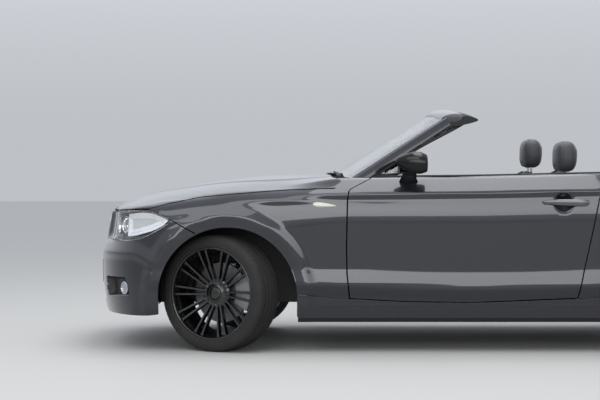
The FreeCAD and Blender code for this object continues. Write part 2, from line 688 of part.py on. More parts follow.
# Interior outlines in the side view, x and z
dash_outline = [(1009.7, 560), (1009.7, 862), (800, 862), (740, 876), (680, 884), (600, 868)]
dash_outline += [(575, 815), (585, 760), (680, 700), (700, 560)]
binnacle_outline = [(735, 870), (720, 900), (690, 925), (640, 930), (590, 915), (585, 860)]
console_outline = [(585, 290), (585, 560), (500, 470), (150, 420), (-330, 430), (-420, 400), (-420, 290)]
cushion_outline = [(200, 330), (230, 380), (190, 452), (0, 448), (-250, 430), (-330, 430), (-330, 320)]
cushion_outline += [(-100, 300)]
backrest_outline = [(-250, 410), (-190, 470), (-250, 640), (-345, 940), (-400, 985), (-455, 965)]
backrest_outline += [(-440, 800), (-370, 500), (-330, 420)]
rear_cushion_outline = [(-640, 340.3), (-600, 440), (-640, 500), (-1000, 480), (-1000, 340.3)]
rear_back_outline = [(-1000, 340.3), (-985, 480), (-1070, 900), (-1149.7, 900), (-1149.7, 500)]
rear_back_outline += [(-1097.6, 340.3)]
# Seat outlines in the front view, half width and z, and in plan, x and half width
backrest_shoulders = [(235, 400), (235, 700), (222, 860), (180, 950), (120, 1000)]
cushion_plan = [(260, 150), (232, 215), (170, 250), (-330, 250)]
headrest_cheeks = [(118, -170), (135, -120), (133, -50), (116, -14), (80, 5)]


def both_sides(half):
    return [(y, z) for y, z in half] + [(-y, z) for y, z in half[::-1]]


def dashboard(inner_room):
    d = side_prism(dash_outline, -683, 683).cut(box(860, 1010, -700, 700, cowl_z - 8.3, 1000))
    hood = side_prism(binnacle_outline, 190, 530)
    hole = cyl(column_radius + fit, 250.3, (0, 0, 0), (1, 0, 0))
    hole.rotate(V(0, 0, 0), V(0, 1, 0), column_tilt)
    hole.translate(V(*wheel_centre))
    return fused([d, hood]).common(inner_room).cut(hole)


def steering_wheel():
    turn = [math.radians(a) for a in range(0, 360, 45)]
    ring = [(185 + 15 * math.cos(a), 15 * math.sin(a)) for a in turn]
    rim_part = turned(ring)
    rim_part.rotate(V(0, 0, 0), V(0, 0, 1), -90)
    boss = cyl(72, 50, (-20, 0, 0), (1, 0, 0))
    column = cyl(column_radius, 240, (10, 0, 0), (1, 0, 0))
    spokes = [box(-12, 12, -180, 180, -20, 20), box(-12, 12, -18, 18, -180, 0)]
    w = fused([rim_part, boss, column] + spokes)
    w.rotate(V(0, 0, 0), V(0, 1, 0), column_tilt)
    w.translate(V(*wheel_centre))
    return w


def console():
    c = side_prism(console_outline, -95, 95)
    lever = cyl(11, 120, (250, 0, 420), (0.1, 0, 1)).fuse(Part.makeSphere(28, V(262, 0, 545)))
    return fused([c, lever])


def seat(y_mid, ahead, lift):
    w = seat_width / 2
    plan = [(x, y) for x, y in cushion_plan] + [(x, -y) for x, y in cushion_plan[::-1]]
    cushion = side_prism(cushion_outline, -w, w).common(plan_prism(plan, 250, 500))
    back = side_prism(backrest_outline, -w, w)
    back = back.common(front_prism(both_sides(backrest_shoulders), -600, 0))
    top = head_z + lift
    head = [(-367, top - 160), (-362, top - 30), (-402, top), (-457, top - 8)]
    head += [(-493, top - 60), (-472, top - 165)]
    cheeks = [(y, top + z) for y, z in headrest_cheeks]
    head = side_prism(head, -w, w).common(front_prism(both_sides(cheeks), -600, 0))
    posts = [cyl(7, top - 1010, (-420, y, 900), (0, 0, 1)) for y in (-70, 70)]
    rails = [box(-300, 200, s * 190 - 18, s * 190 + 18, floor_z + floor_skin, 335) for s in (1, -1)]
    return at(fused([cushion, back, head] + posts + rails), ahead, y_mid, 0)


def rear_seat():
    low = side_prism(rear_cushion_outline, -rear_seat_half, rear_seat_half)
    back = side_prism(rear_back_outline, -rear_seat_half, rear_seat_half)
    head_side = [(-1125, 890), (-1120, 1020), (-1095, 1030), (-1050, 1015), (-1040, 960), (-1055, 890)]
    heads = []
    for y in (-330, 330):
        cheek = [(105, 890), (105, 1000), (84, 1030)]
        front = [(y + a, z) for a, z in both_sides(cheek)]
        heads.append(side_prism(head_side, y - 110, y + 110).common(front_prism(front, -1200, -1000)))
    return fused([low, back] + heads)


def mirror_housing(outer):
    plan = [(388, 850), (388, 972), (425, 978), (500, 960), (545, 905), (520, 862), (450, 845)]
    front = [(848, 950), (862, 1040), (890, 1063), (950, 1066), (976, 1050), (980, 985)]
    front += [(960, 950), (900, 941)]
    side = [(547, 1014), (520, 1040), (470, 1060), (410, 1068), (380, 1068), (380, 940)]
    side += [(480, 940), (525, 968)]
    shell_part = plan_prism(plan, 941, 1067).common(front_prism(front, 380, 560))
    shell_part = shell_part.common(side_prism(side, 800, 1000))
    bowl = box(380, 398, 862, 962, 958, 1054)
    stalk = front_prism([(815, 880), (872, 850), (925, 948), (862, 952)], 430, 530)
    m = fused([shell_part.cut(bowl), box(396, 400, 856, 968, 952, 1060).common(shell_part), stalk])
    return m.cut(outer)


def handle(outer):
    x0, x1 = handle_x
    z0, z1 = handle_z
    grip = [(x0, z0 + 8), (x0 + 20, z0), (x1 - 20, z0 + 4), (x1, z0 + 14), (x1 - 10, z1)]
    bar = side_prism(grip + [(x0 + 20, z1 - 2)], 880, 894)
    feet = [box(x0 + 8, x0 + 40, 860, 884, z0 + 6, z1 - 6)]
    feet.append(box(x1 - 40, x1 - 12, 860, 884, z0 + 10, z1 - 6))
    return fused([bar] + feet).cut(outer)


def tail_lamps(outer):
    left = outer.common(side_prism(rear_lamp, lamp_rear_y, 1000))
    back = [(-1990, 0), (-1990, 500), (-1930, 600), (-1850, 700), (-1780, 790), (-1200, 790), (-1200, 0)]
    return left.cut(plan_prism(back, 500, 900))


def on_screen(y, share, n):
    # A point n outside the glass at a distance y from the middle and a share of its height
    sx, sy, sz, mx, mz = [a + share * (b - a) for a, b in zip(screen_base, screen_top)]
    k = (y / sy) ** 2
    return V(mx - (mx - sx) * k + screen_normal[0] * n, y, mz - (mz - sz) * k + screen_normal[2] * n)


def blade(points, half):
    # A thin square bar through the points, each section upright and across the car
    wires = []
    for p in points:
        corners = [(-half, -half), (half, -half), (half, half), (-half, half)]
        ring = [V(p.x + dx, p.y, p.z + dz) for dx, dz in corners]
        wires.append(Part.makePolygon(ring + ring[:1]))
    return Part.makeLoft(wires, True, True)


def wipers():
    out = []
    for y0, y1, share in wiper_rows:
        inner = y0 - 40
        ends = [on_screen(inner + (y1 - inner) * i / 6, share, wiper_lift) for i in range(7)]
        arm = [on_screen(y0, -0.01, wiper_lift + 2.5), on_screen(y0 - 60, share, wiper_lift + 2.5)]
        out.append(blade(ends, 6).fuse(blade(arm, 8)))
    return Part.makeCompound(out)


def interior_mirror():
    glass_part = box(250, 272, -120, 120, 1160, 1220)
    stem = cyl(7, 42.6, (262, 0, 1210), (0, 0, 1))
    return fused([glass_part, stem])


def build():
    outer = body_solid()
    shell = shell_of(outer)
    room = body_solid(skin + fit)
    parts = {}

    def pair(name, shape):
        parts[name + "_left"] = shape
        parts[name + "_right"] = mirrored(shape)

    parts["bonnet"] = bonnet(shell)
    pair("front_fender", fender(shell))
    parts["front_bumper"] = bumper_front(shell)
    parts["kidney_grille"] = grille(outer)
    pair("headlight", headlight(outer))
    pair("door", door(outer))
    pair("door_mirror", mirror_housing(outer))
    pair("door_handle", handle(outer))
    pair("quarter_panel", quarter(outer, shell, room))
    parts["rear_bumper"] = bumper_rear(shell)
    parts["boot_lid"] = boot_lid(shell)
    parts["soft_top_cover"] = tonneau(shell)
    pair("tail_lamp", tail_lamps(outer))
    pair("side_sill", sill(outer, room))
    parts["body_floor"] = floor_pan(room)
    parts["boot_floor"] = boot_floor(room, parts["body_floor"])
    parts["front_frame"] = front_frame(room, parts["body_floor"])
    pair("front_wheel_liner", liner(front_axle_x, 450, room))
    pair("rear_wheel_liner", liner(rear_axle_x, 612, room))
    parts["windscreen_frame"] = windscreen_frame()
    parts["windscreen_glass"] = glass()
    parts["cowl"] = cowl(room)
    parts["dashboard"] = dashboard(room)
    parts["steering_wheel"] = steering_wheel()
    parts["console"] = console()
    parts["seat_front_left"] = seat(seat_y, 0, 0)
    parts["seat_front_right"] = seat(-seat_y, 91, 28)
    parts["rear_seat"] = rear_seat()
    parts["interior_mirror"] = interior_mirror()
    parts["wipers"] = wipers()
    parts["engine"] = engine()
    parts["exhaust"] = exhaust()
    parts["front_axle"] = front_axle()
    parts["rear_axle"] = rear_axle()
    pair("door_hinges", fused(door_hinge_straps()))
    wheel = rim()
    rubber = tyre()
    steer = (V(0, kingpin_y - front_wheel_y, 0), V(0, 0, 1), steer_rest_deg)
    front = {"front_wheel": wheel, "front_tyre": rubber, "front_caliper": caliper(-1), "knuckle": knuckle()}
    for name, shape in front.items():
        for side, label in ((1, "left"), (-1, "right")):
            s = shape.copy() if side > 0 else mirrored(shape)
            s.rotate(V(0, side * (kingpin_y - front_wheel_y), 0), steer[1], steer_rest_deg)
            parts[name + "_" + label] = at(s, front_axle_x, side * front_wheel_y, tyre_radius)
    rear = {"rear_wheel": wheel, "rear_tyre": rubber, "rear_caliper": caliper(1)}
    for name, shape in rear.items():
        s = at(shape, rear_axle_x, rear_wheel_y, tyre_radius)
        pair(name, s)
    return parts


if __name__ == "__main__":
    os.makedirs("parts", exist_ok=True)
    for name, shape in build().items():
        shape.exportStep("parts/%s.step" % name)
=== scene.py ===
# Open two-door convertible, roof stowed, front wheels turned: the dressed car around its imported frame.
import bpy
import bmesh
import math
import numpy as np
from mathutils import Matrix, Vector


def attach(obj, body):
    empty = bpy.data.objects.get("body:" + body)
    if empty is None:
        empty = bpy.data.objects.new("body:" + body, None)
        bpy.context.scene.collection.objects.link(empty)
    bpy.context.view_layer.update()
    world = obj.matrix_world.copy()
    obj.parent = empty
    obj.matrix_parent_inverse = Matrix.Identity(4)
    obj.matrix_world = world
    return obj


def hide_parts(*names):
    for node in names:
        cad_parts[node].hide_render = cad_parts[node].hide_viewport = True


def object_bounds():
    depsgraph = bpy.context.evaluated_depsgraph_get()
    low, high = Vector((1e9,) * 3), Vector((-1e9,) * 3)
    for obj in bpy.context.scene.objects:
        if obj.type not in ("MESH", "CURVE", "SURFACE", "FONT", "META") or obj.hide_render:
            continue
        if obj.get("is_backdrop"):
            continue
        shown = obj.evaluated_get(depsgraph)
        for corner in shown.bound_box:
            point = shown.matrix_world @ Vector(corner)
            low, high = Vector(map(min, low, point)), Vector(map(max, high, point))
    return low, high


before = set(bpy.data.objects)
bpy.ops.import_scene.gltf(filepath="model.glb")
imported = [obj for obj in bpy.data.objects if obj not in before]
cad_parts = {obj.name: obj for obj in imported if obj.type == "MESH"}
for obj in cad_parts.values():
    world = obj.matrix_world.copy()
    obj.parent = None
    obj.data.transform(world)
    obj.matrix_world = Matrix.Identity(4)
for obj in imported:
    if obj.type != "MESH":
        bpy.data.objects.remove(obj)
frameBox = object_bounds()
mm = 0.001

car = {
    "noseX": 2180, "tailX": -2180, "frontAxleX": 1437, "rearAxleX": -1223,
    "wheelZ": 311, "archZ": 296, "archRadius": 368, "gap": 5,
    "frontWheelY": 742, "rearWheelY": 750, "kingpinY": 655, "steerDeg": -28,
    "planPower": 2.5, "planHalf": 877, "noseStart": 1600, "tailStart": -1640,
    "edgeRound": 34, "creaseRound": 5,
}

# Body sections from nose to tail. Columns: x, half width, underside z, lower crease z, shoulder z,
# roll mid point y and z, bonnet or belt edge y and z, crown z, crease depth
bodyRows = np.array([
    (2200, 800, 215, 420, 600, 772, 640, 700, 668, 690, 0.0),
    (2080, 815, 200, 400, 640, 792, 694, 715, 730, 772, 0.0),
    (1900, 850, 185, 390, 672, 818, 740, 735, 776, 842, 0.0),
    (1700, 866, 180, 380, 708, 832, 774, 750, 810, 882, 0.0),
    (1437, 873, 178, 372, 750, 843, 806, 765, 850, 921, 0.2),
    (1150, 874, 178, 366, 806, 845, 840, 778, 868, 944, 0.7),
    (800, 874, 178, 358, 838, 838, 878, 797, 925, 950, 1.0),
    (150, 874, 178, 338, 846, 834, 890, 797, 933, 955, 1.0),
    (-500, 874, 178, 352, 858, 832, 903, 793, 947, 970, 1.0),
    (-1223, 874, 180, 372, 866, 822, 916, 772, 960, 985, 0.8),
    (-1700, 862, 190, 390, 862, 805, 912, 752, 950, 978, 0.6),
    (-2200, 838, 230, 420, 840, 780, 880, 725, 918, 950, 0.5),
])[::-1]
# Flank between lower crease (0) and shoulder (1): share of the height, inset from the half width
flank = [(0.0, 6.0), (0.08, 10.0), (0.19, 16.0), (0.42, 8.0), (0.68, 0.0), (0.84, 4.0), (0.95, 13.0)]
# Plan outlines by height: z, nose x, tail x
planRows = np.array([
    (90, 2080, -2060), (215, 2154, -2120), (330, 2169, -2168), (500, 2173, -2174),
    (575, 2150, -2160), (735, 2122, -2118), (880, 2105, -2132), (1010, 2095, -2128),
], dtype=float)


def arcThrough(p, q, r, count):
    # Points on the circle through three points, at even steps of angle from p to r by way of q
    ax, ay = q[0] - p[0], q[1] - p[1]
    bx, by = r[0] - p[0], r[1] - p[1]
    d = 2 * (ax * by - ay * bx)
    if abs(d) < 1e-6:
        t = np.linspace(0, 1, count)
        return np.stack([p[0] + bx * t, p[1] + by * t], 1)
    ux = (by * (ax * ax + ay * ay) - ay * (bx * bx + by * by)) / d
    uy = (ax * (bx * bx + by * by) - bx * (ax * ax + ay * ay)) / d
    cx, cy = p[0] + ux, p[1] + uy
    a = [math.atan2(s[1] - cy, s[0] - cx) for s in (p, q, r)]
    for k in (1, 2):
        while a[k] - a[k - 1] > math.pi:
            a[k] -= 2 * math.pi
        while a[k] - a[k - 1] < -math.pi:
            a[k] += 2 * math.pi
    t = np.linspace(a[0], a[2], count)
    radius = math.hypot(ux, uy)
    return np.stack([cx + radius * np.cos(t), cy + radius * np.sin(t)], 1)


def sectionCurve(row):
    # Half section as a run of arcs in y and z, from the underside round the flank to the crown
    half, zUnder, zLow, zShoulder, yRoll, zRoll, yEdge, zEdge, zCrown, crease = row[1:]
    p = [(half - 66, zUnder), (half - 34, zLow - 62)]
    for share, inset in flank:
        deep = inset * crease if share > 0.9 else inset
        p.append((half - deep, zLow + share * (zShoulder - zLow)))
    p += [(half - 6, zShoulder), (yRoll, zRoll), (yEdge, zEdge)]
    runs = [np.array([(0, zUnder), p[0], p[1], p[2]], dtype=float)]
    for a, b, c in ((2, 3, 4), (4, 5, 6), (6, 7, 8), (9, 10, 11)):
        runs.append(arcThrough(p[a], p[b], p[c], 24))
    top = arcThrough(p[11], (0, zCrown), (-p[11][0], p[11][1]), 81)
    runs.append(top[:41])
    return np.concatenate(runs)


def smoothRows(x, y, at):
    # Shape-keeping cubic through rows: the slope at each row is the harmonic mean of its neighbours
    h = np.diff(x)[:, None]
    d = np.diff(y, axis=0) / h
    m = np.zeros_like(y)
    m[0], m[-1] = d[0], d[-1]
    same = d[:-1] * d[1:] > 0
    w1, w2 = 2 * h[1:] + h[:-1], h[1:] + 2 * h[:-1]
    safe = np.where(same, d[:-1], 1.0), np.where(same, d[1:], 1.0)
    m[1:-1] = np.where(same, (w1 + w2) / (w1 / safe[0] + w2 / safe[1]), 0.0)
    i = np.clip(np.searchsorted(x, at) - 1, 0, len(x) - 2)
    t = ((at - x[i]) / h[i, 0])[:, None]
    hi = h[i]
    return ((2 * t**3 - 3 * t**2 + 1) * y[i] + (t**3 - 2 * t**2 + t) * hi * m[i]
            + (3 * t**2 - 2 * t**3) * y[i + 1] + (t**3 - t**2) * hi * m[i + 1])


bodyCentreZ = 560.0
angleCount = 1441
angleGrid = np.linspace(-math.pi / 2, math.pi / 2, angleCount)
stationGrid = np.arange(-2240, 2241, 20.0)


def radiusTable():
    # Distance of the body's skin from its centre line, by station along the car and angle round it
    table = []
    for row in bodyRows:
        c = sectionCurve(row)
        angle = np.arctan2(c[:, 1] - bodyCentreZ, c[:, 0])
        reach = np.hypot(c[:, 0], c[:, 1] - bodyCentreZ)
        table.append(np.interp(angleGrid, angle, reach))
    table = np.array(table)
    width = car["creaseRound"]
    window = np.hanning(2 * width + 3)[1:-1]
    window /= window.sum()
    padded = np.pad(table, ((0, 0), (width, width)), mode="edge")
    table = np.array([np.convolve(r, window, mode="valid") for r in padded])
    at = np.clip(stationGrid, bodyRows[0, 0], bodyRows[-1, 0])
    table = smoothRows(bodyRows[:, 0], table, at)
    blur = np.array([1.0, 2.0, 3.0, 2.0, 1.0]) / 9.0
    padded = np.pad(table, ((2, 2), (0, 0)), mode="edge")
    return sum(blur[k] * padded[k:k + len(table)] for k in range(5))


skinRadius = radiusTable()
planZ = np.arange(60, 1061, 10.0)
planReach = smoothRows(planRows[:, 0], planRows[:, 1:], np.clip(planZ, 90, 1010))


def cubicWeights(t):
    # Catmull-Rom weights of the four neighbours at a fraction t between the middle two
    return np.stack([-0.5 * t + t**2 - 0.5 * t**3, 1 - 2.5 * t**2 + 1.5 * t**3,
                     0.5 * t + 2 * t**2 - 1.5 * t**3, -0.5 * t**2 + 0.5 * t**3])


def lookup(table, a, b):
    ia = np.clip(np.floor(a).astype(int), 1, table.shape[0] - 3)
    ib = np.clip(np.floor(b).astype(int), 1, table.shape[1] - 3)
    wa, wb = cubicWeights(a - ia), cubicWeights(b - ib)
    out = 0.0
    for p in range(4):
        for q in range(4):
            out = out + wa[p] * wb[q] * table[ia + p - 1, ib + q - 1]
    return out


def easeIn(t):
    t = np.clip(t, 0, 1)
    return t * t * (3 - 2 * t)


relief = {"archBand": 53.0, "archRidge": 14.0, "archFall": 11.0, "creaseZ": 527.0, "crease": 9.0, "lampStep": 24.0}


def skinRelief(x, y, z):
    # How far the panels stand out beyond the lofts: arch flares, bumper crease, and the step beside the grille
    out = 0.0
    for axle in (car["frontAxleX"], car["rearAxleX"]):
        t = np.hypot(x - axle, z - car["archZ"]) - car["archRadius"]
        inside = relief["archRidge"] - relief["archFall"] * np.clip((relief["archBand"] - t) / relief["archBand"], 0, 1)
        beyond = relief["archRidge"] * (1 - easeIn((t - relief["archBand"]) / 62))
        out = out + np.where(t < relief["archBand"], inside, beyond) * easeIn((z - 150) / 80) * easeIn((y - 560) / 60)
    line = relief["creaseZ"] - 50 * (1 - easeIn((x - 1820) / 130))
    crease = np.where(z > line, np.clip(1 - (z - line) / 60, 0, 1), 1 - easeIn((line - z) / 45))
    out = out + relief["crease"] * crease * easeIn((x - 1760) / 120) * easeIn((y - 300) / 260)
    step = easeIn((y - 205) / 40) * (1 - easeIn((y - 400) / 220)) * easeIn((z - 560) / 60) * (1 - easeIn((z - 736) / 44))
    step = step * easeIn((x - 1900) / 60)
    return out - relief["lampStep"] * step


def skinField(p):
    # Signed distance-like field of the body: the side and top skin, rounded into the nose and tail outline
    x, y, z = p[..., 0], np.abs(p[..., 1]), p[..., 2]
    angle = np.arctan2(z - bodyCentreZ, y)
    a = (x - stationGrid[0]) / (stationGrid[1] - stationGrid[0])
    b = (angle - angleGrid[0]) / (angleGrid[1] - angleGrid[0])
    side = np.hypot(y, z - bodyCentreZ) - lookup(skinRadius, a, b)
    noseReach = np.interp(z, planZ, planReach[:, 0])
    tailReach = np.interp(z, planZ, planReach[:, 1])
    power = car["planPower"]
    ahead = np.clip((x - car["noseStart"]) / (noseReach - car["noseStart"]), 0, None)
    behind = np.clip((x - car["tailStart"]) / (tailReach - car["tailStart"]), 0, None)
    wide = (y / car["planHalf"]) ** power
    round_ = ((ahead ** power + behind ** power + wide) ** (1 / power) - 1) * 560.0
    near = np.clip((np.abs(x) - 1650) / 350, 0, 1)
    k = 2.0 + car["edgeRound"] * near * near * (3 - 2 * near)
    h = np.clip(0.5 + 0.5 * (side - round_) / k, 0, 1)
    return round_ + (side - round_) * h + k * h * (1 - h) - skinRelief(x, y, z)


def skinNormal(p, step=4.0):
    # Outward unit normal from central differences of the field
    g = np.zeros_like(p)
    for k in range(3):
        d = np.zeros(3)
        d[k] = step
        g[..., k] = skinField(p + d) - skinField(p - d)
    return g / np.linalg.norm(g, axis=-1, keepdims=True)


def shoot(start, direction, reach):
    # First crossing of the skin along rays from inside the body, by halving the interval
    lo, hi = np.zeros(start.shape[:-1]), np.full(start.shape[:-1], float(reach))
    for _ in range(26):
        mid = (lo + hi) / 2
        inside = skinField(start + direction * mid[..., None]) < 0
        lo, hi = np.where(inside, mid, lo), np.where(inside, hi, mid)
    return start + direction * ((lo + hi) / 2)[..., None]


def onSide(uv):
    # Side view points (x, z) carried out along +Y to the skin
    start = np.stack([uv[..., 0], np.full(uv.shape[:-1], 250.0), uv[..., 1]], -1)
    return shoot(start, np.array([0.0, 1.0, 0.0]), 800)


def onTop(uv):
    # Plan points (x, y) carried up to the skin
    start = np.stack([uv[..., 0], uv[..., 1], np.full(uv.shape[:-1], 600.0)], -1)
    return shoot(start, np.array([0.0, 0.0, 1.0]), 600)


spine = {"half": 1300.0, "z": 560.0, "turn": 850.0}


def onDome(uv):
    # Rays from the spine inside the body: u runs along the car and wraps round nose and tail, v is elevation
    over = np.abs(uv[..., 0]) - spine["half"]
    turn = np.clip(over, 0, None) / spine["turn"] * np.sign(uv[..., 0])
    rise = uv[..., 1] / spine["turn"]
    zero = np.zeros_like(turn)
    start = np.stack([np.clip(uv[..., 0], -spine["half"], spine["half"]), zero, zero + spine["z"]], -1)
    direction = np.stack([np.sin(turn) * np.cos(rise), np.cos(turn) * np.cos(rise), np.sin(rise)], -1)
    return shoot(start, direction, 1500)


def toDome(p):
    # The spine's two parameters of a point in space, on the left half
    ahead = p[..., 0] - np.clip(p[..., 0], -spine["half"], spine["half"])
    turn = np.arctan2(np.abs(ahead), p[..., 1])
    u = np.where(ahead == 0, p[..., 0], np.sign(ahead) * (spine["half"] + spine["turn"] * turn))
    rise = np.arctan2(p[..., 2] - spine["z"], np.hypot(ahead, p[..., 1]))
    return np.stack([u, rise * spine["turn"]], -1)


def onLid(uv):
    # Rays in upright planes along the car from a line inside the boot: u is y, v turns from up to backwards
    start = np.stack([np.full(uv.shape[:-1], -1700.0), uv[..., 0], np.full(uv.shape[:-1], 700.0)], -1)
    a = uv[..., 1]
    return shoot(start, np.stack([-np.sin(a), np.zeros_like(a), np.cos(a)], -1), 800)


def onEnd(uv, centreX):
    # Angle from straight ahead or behind (degrees) and height, carried out from an upright line on the middle plane
    sign = 1.0 if centreX > 0 else -1.0
    a = np.radians(uv[..., 0])
    start = np.stack([np.full(uv.shape[:-1], centreX), np.zeros(uv.shape[:-1]), uv[..., 1]], -1)
    direction = np.stack([sign * np.cos(a), np.sin(a), np.zeros_like(a)], -1)
    return shoot(start, direction, 1100)


def onNose(uv):
    return onEnd(uv, 1300.0)


def onFront(uv, sign=1.0):
    # Front or rear view points (y, z) carried out along the car to the skin
    start = np.stack([np.full(uv.shape[:-1], sign * 1300.0), uv[..., 0], uv[..., 1]], -1)
    return shoot(start, np.array([sign, 0.0, 0.0]), 1000)


def resample(points, count, keys=None):
    # Even steps of length along an open line
    p = np.asarray(points, dtype=float)
    s = np.concatenate([[0], np.cumsum(np.linalg.norm(np.diff(p, axis=0), axis=1))])
    at = np.linspace(0, s[-1], count)
    return np.stack([np.interp(at, s, p[:, k]) for k in range(p.shape[1])], 1)


def softLine(points, radius, count=200):
    # A line with its corners rounded: resampled finely, then blurred over the given length
    p = resample(points, 400)
    length = np.linalg.norm(np.diff(p, axis=0), axis=1).sum()
    n = max(1, int(radius / (length / 399)))
    ext = np.concatenate([2 * p[0] - p[n:0:-1], p, 2 * p[-1] - p[-2:-n - 2:-1]])
    w = np.hanning(2 * n + 3)[1:-1]
    w /= w.sum()
    p = np.stack([np.convolve(ext[:, k], w, mode="valid") for k in range(p.shape[1])], 1)
    return resample(p, count)


def coons(low, high, start, end):
    # Patch between four edge lines: low and high run along u, start and end along v
    n, m = len(low), len(start)
    u, v = np.linspace(0, 1, n)[:, None, None], np.linspace(0, 1, m)[None, :, None]
    ruled = (1 - v) * low[:, None] + v * high[:, None] + (1 - u) * start[None] + u * end[None]
    corners = ((1 - u) * (1 - v) * low[0] + u * (1 - v) * low[-1]
               + (1 - u) * v * high[0] + u * v * high[-1])
    return ruled - corners


materials = {}


def spaced(line, step=8.0):
    # The same line with its points a set distance apart, both ends kept
    length = np.linalg.norm(np.diff(line, axis=0), axis=1).sum()
    return resample(line, max(2, int(length / step) + 1))


def onSkin(view, points, radius=6.0):
    # A line on the skin drawn in one view, as the spine's parameters
    p = np.asarray(points, dtype=float)
    p = softLine(p, radius) if len(p) > 2 and radius else resample(p, 200)
    project = {"side": onSide, "top": onTop, "front": onFront, "rear": lambda q: onFront(q, -1.0)}[view]
    return spaced(toDome(project(p)))


def joined(*lines):
    return np.concatenate(lines)


def arcLine(centreX, radius, x0, z0, x1, z1, count=200):
    # Wheel arch edge in the side view from one point over the top to another, straight down below its centre
    a0 = math.atan2(max(z0 - car["archZ"], 0), x0 - centreX)
    a1 = math.atan2(max(z1 - car["archZ"], 0), x1 - centreX)
    a = np.linspace(a0, a1, count)
    p = np.stack([centreX + radius * np.cos(a), car["archZ"] + radius * np.sin(a)], 1)
    if z0 < car["archZ"]:
        p = np.concatenate([[(p[0, 0], z0)], p])
    if z1 < car["archZ"]:
        p = np.concatenate([p, [(p[-1, 0], z1)]])
    return p


def signedDistance(points, outline):
    # Distance of flat points to a closed outline, negative inside, and the nearest point on it
    a = np.asarray(outline, dtype=float)
    b = np.roll(a, -1, axis=0)
    d = b - a
    best = np.full(points.shape[:-1], 1e18)
    near = np.zeros_like(points)
    inside = np.zeros(points.shape[:-1], dtype=bool)
    for k in range(len(a)):
        t = np.clip(((points - a[k]) @ d[k]) / (d[k] @ d[k] + 1e-12), 0, 1)
        q = a[k] + t[..., None] * d[k]
        r = np.sum((points - q) ** 2, -1)
        closer = r < best
        best = np.where(closer, r, best)
        near = np.where(closer[..., None], q, near)
        crosses = (a[k, 1] > points[..., 1]) != (b[k, 1] > points[..., 1])
        slope = (points[..., 1] - a[k, 1]) * d[k, 0] / (d[k, 1] if abs(d[k, 1]) > 1e-12 else 1e-12) + a[k, 0]
        inside ^= crosses & (points[..., 0] < slope)
    return np.where(inside, -1, 1) * np.sqrt(best), near


def gridFaces(n, m, offset=0):
    i = np.arange(n * m).reshape(n, m) + offset
    return np.stack([i[:-1, :-1], i[1:, :-1], i[1:, 1:], i[:-1, 1:]], -1).reshape(-1, 4)


def trimmedGrid(outline, cell, holes=()):
    # Even grid over a closed outline: points just outside move onto the edge, corners are kept sharp
    low, high = outline.min(0), outline.max(0)
    n, m = (np.ceil((high - low) / cell).astype(int) + 1)
    uv = np.stack(np.meshgrid(np.linspace(low[0], high[0], n), np.linspace(low[1], high[1], m), indexing="ij"), -1)
    d, near = signedDistance(uv, outline)
    for hole in holes:
        dHole, nearHole = signedDistance(uv, hole)
        near = np.where((dHole < 0)[..., None], nearHole, near)
        d = np.maximum(d, -dHole)
    inside = (d < 0).reshape(-1)
    faces = gridFaces(n, m)
    faces = faces[inside[faces].any(1)]
    snap = np.zeros(n * m, dtype=bool)
    snap[faces] = True
    snap &= ~inside
    uv = np.where(snap[:, None], near.reshape(-1, 2), uv.reshape(-1, 2))
    edge = np.flatnonzero(snap)
    for line in (outline, *holes):
        before, after = line - np.roll(line, 1, 0), np.roll(line, -1, 0) - line
        turn = np.abs(np.arctan2(before[:, 0] * after[:, 1] - before[:, 1] * after[:, 0], np.sum(before * after, 1)))
        for corner in line[turn > 0.5]:
            uv[edge[np.argmin(np.sum((uv[edge] - corner) ** 2, 1))]] = corner
    return uv, faces


def welded(points, faces, close=0.02):
    # Points at the same place become one, and faces that shrink to nothing are dropped
    key = np.round(points / close).astype(np.int64)
    _, first, back = np.unique(key, axis=0, return_index=True, return_inverse=True)
    faces = back.reshape(-1)[faces]
    sides = np.sort(faces, 1)
    flat = (sides[:, 1:] == sides[:, :-1]).sum(1)
    return points[first], faces[flat <= 1]


def outerEdges(faces):
    # Edges used by one face only, in that face's direction
    e = np.concatenate([faces[:, [k, (k + 1) % 4]] for k in range(4)])
    e = e[e[:, 0] != e[:, 1]]
    key = np.sort(e, 1)
    _, first, count = np.unique(key, axis=0, return_index=True, return_counts=True)
    return e[first[count == 1]]


def vertexNormals(points, faces):
    a = points[faces[:, 2]] - points[faces[:, 0]]
    b = points[faces[:, 3]] - points[faces[:, 1]]
    n = np.cross(a, b)
    out = np.zeros_like(points)
    for k in range(4):
        np.add.at(out, faces[:, k], n)
    return out / np.maximum(np.linalg.norm(out, axis=1, keepdims=True), 1e-9)


def sheetSolid(points, faces, depth, edge=1.6, normals=None):
    # A sheet given its thickness inwards, with a small folded edge all round and round every hole
    points, faces = welded(points, faces)
    used = np.unique(faces)
    remap = np.full(len(points), -1)
    remap[used] = np.arange(len(used))
    points, faces = points[used], remap[faces]
    n = vertexNormals(points, faces)
    rim = outerEdges(faces)
    middle = points[faces].mean(1)
    pull = np.zeros_like(points)
    count = np.zeros(len(points))
    for k in range(4):
        np.add.at(pull, faces[:, k], middle)
        np.add.at(count, faces[:, k], 1)
    pull = pull / count[:, None] - points
    pull -= n * np.sum(pull * n, 1, keepdims=True)
    pull /= np.maximum(np.linalg.norm(pull, axis=1, keepdims=True), 1e-9)
    border = np.zeros(len(points), dtype=bool)
    border[rim] = True
    top = points + np.where(border[:, None], pull * edge, 0)
    ring = points - n * edge
    under = points - n * depth
    count = len(points)
    a, b = rim[:, 0], rim[:, 1]
    strips = [np.stack([b, a, a + count, b + count], 1), np.stack([b + count, a + count, a + 2 * count, b + 2 * count], 1)]
    allFaces = np.concatenate([faces, faces[:, ::-1] + 2 * count] + strips)
    return np.concatenate([top, ring, under]), allFaces


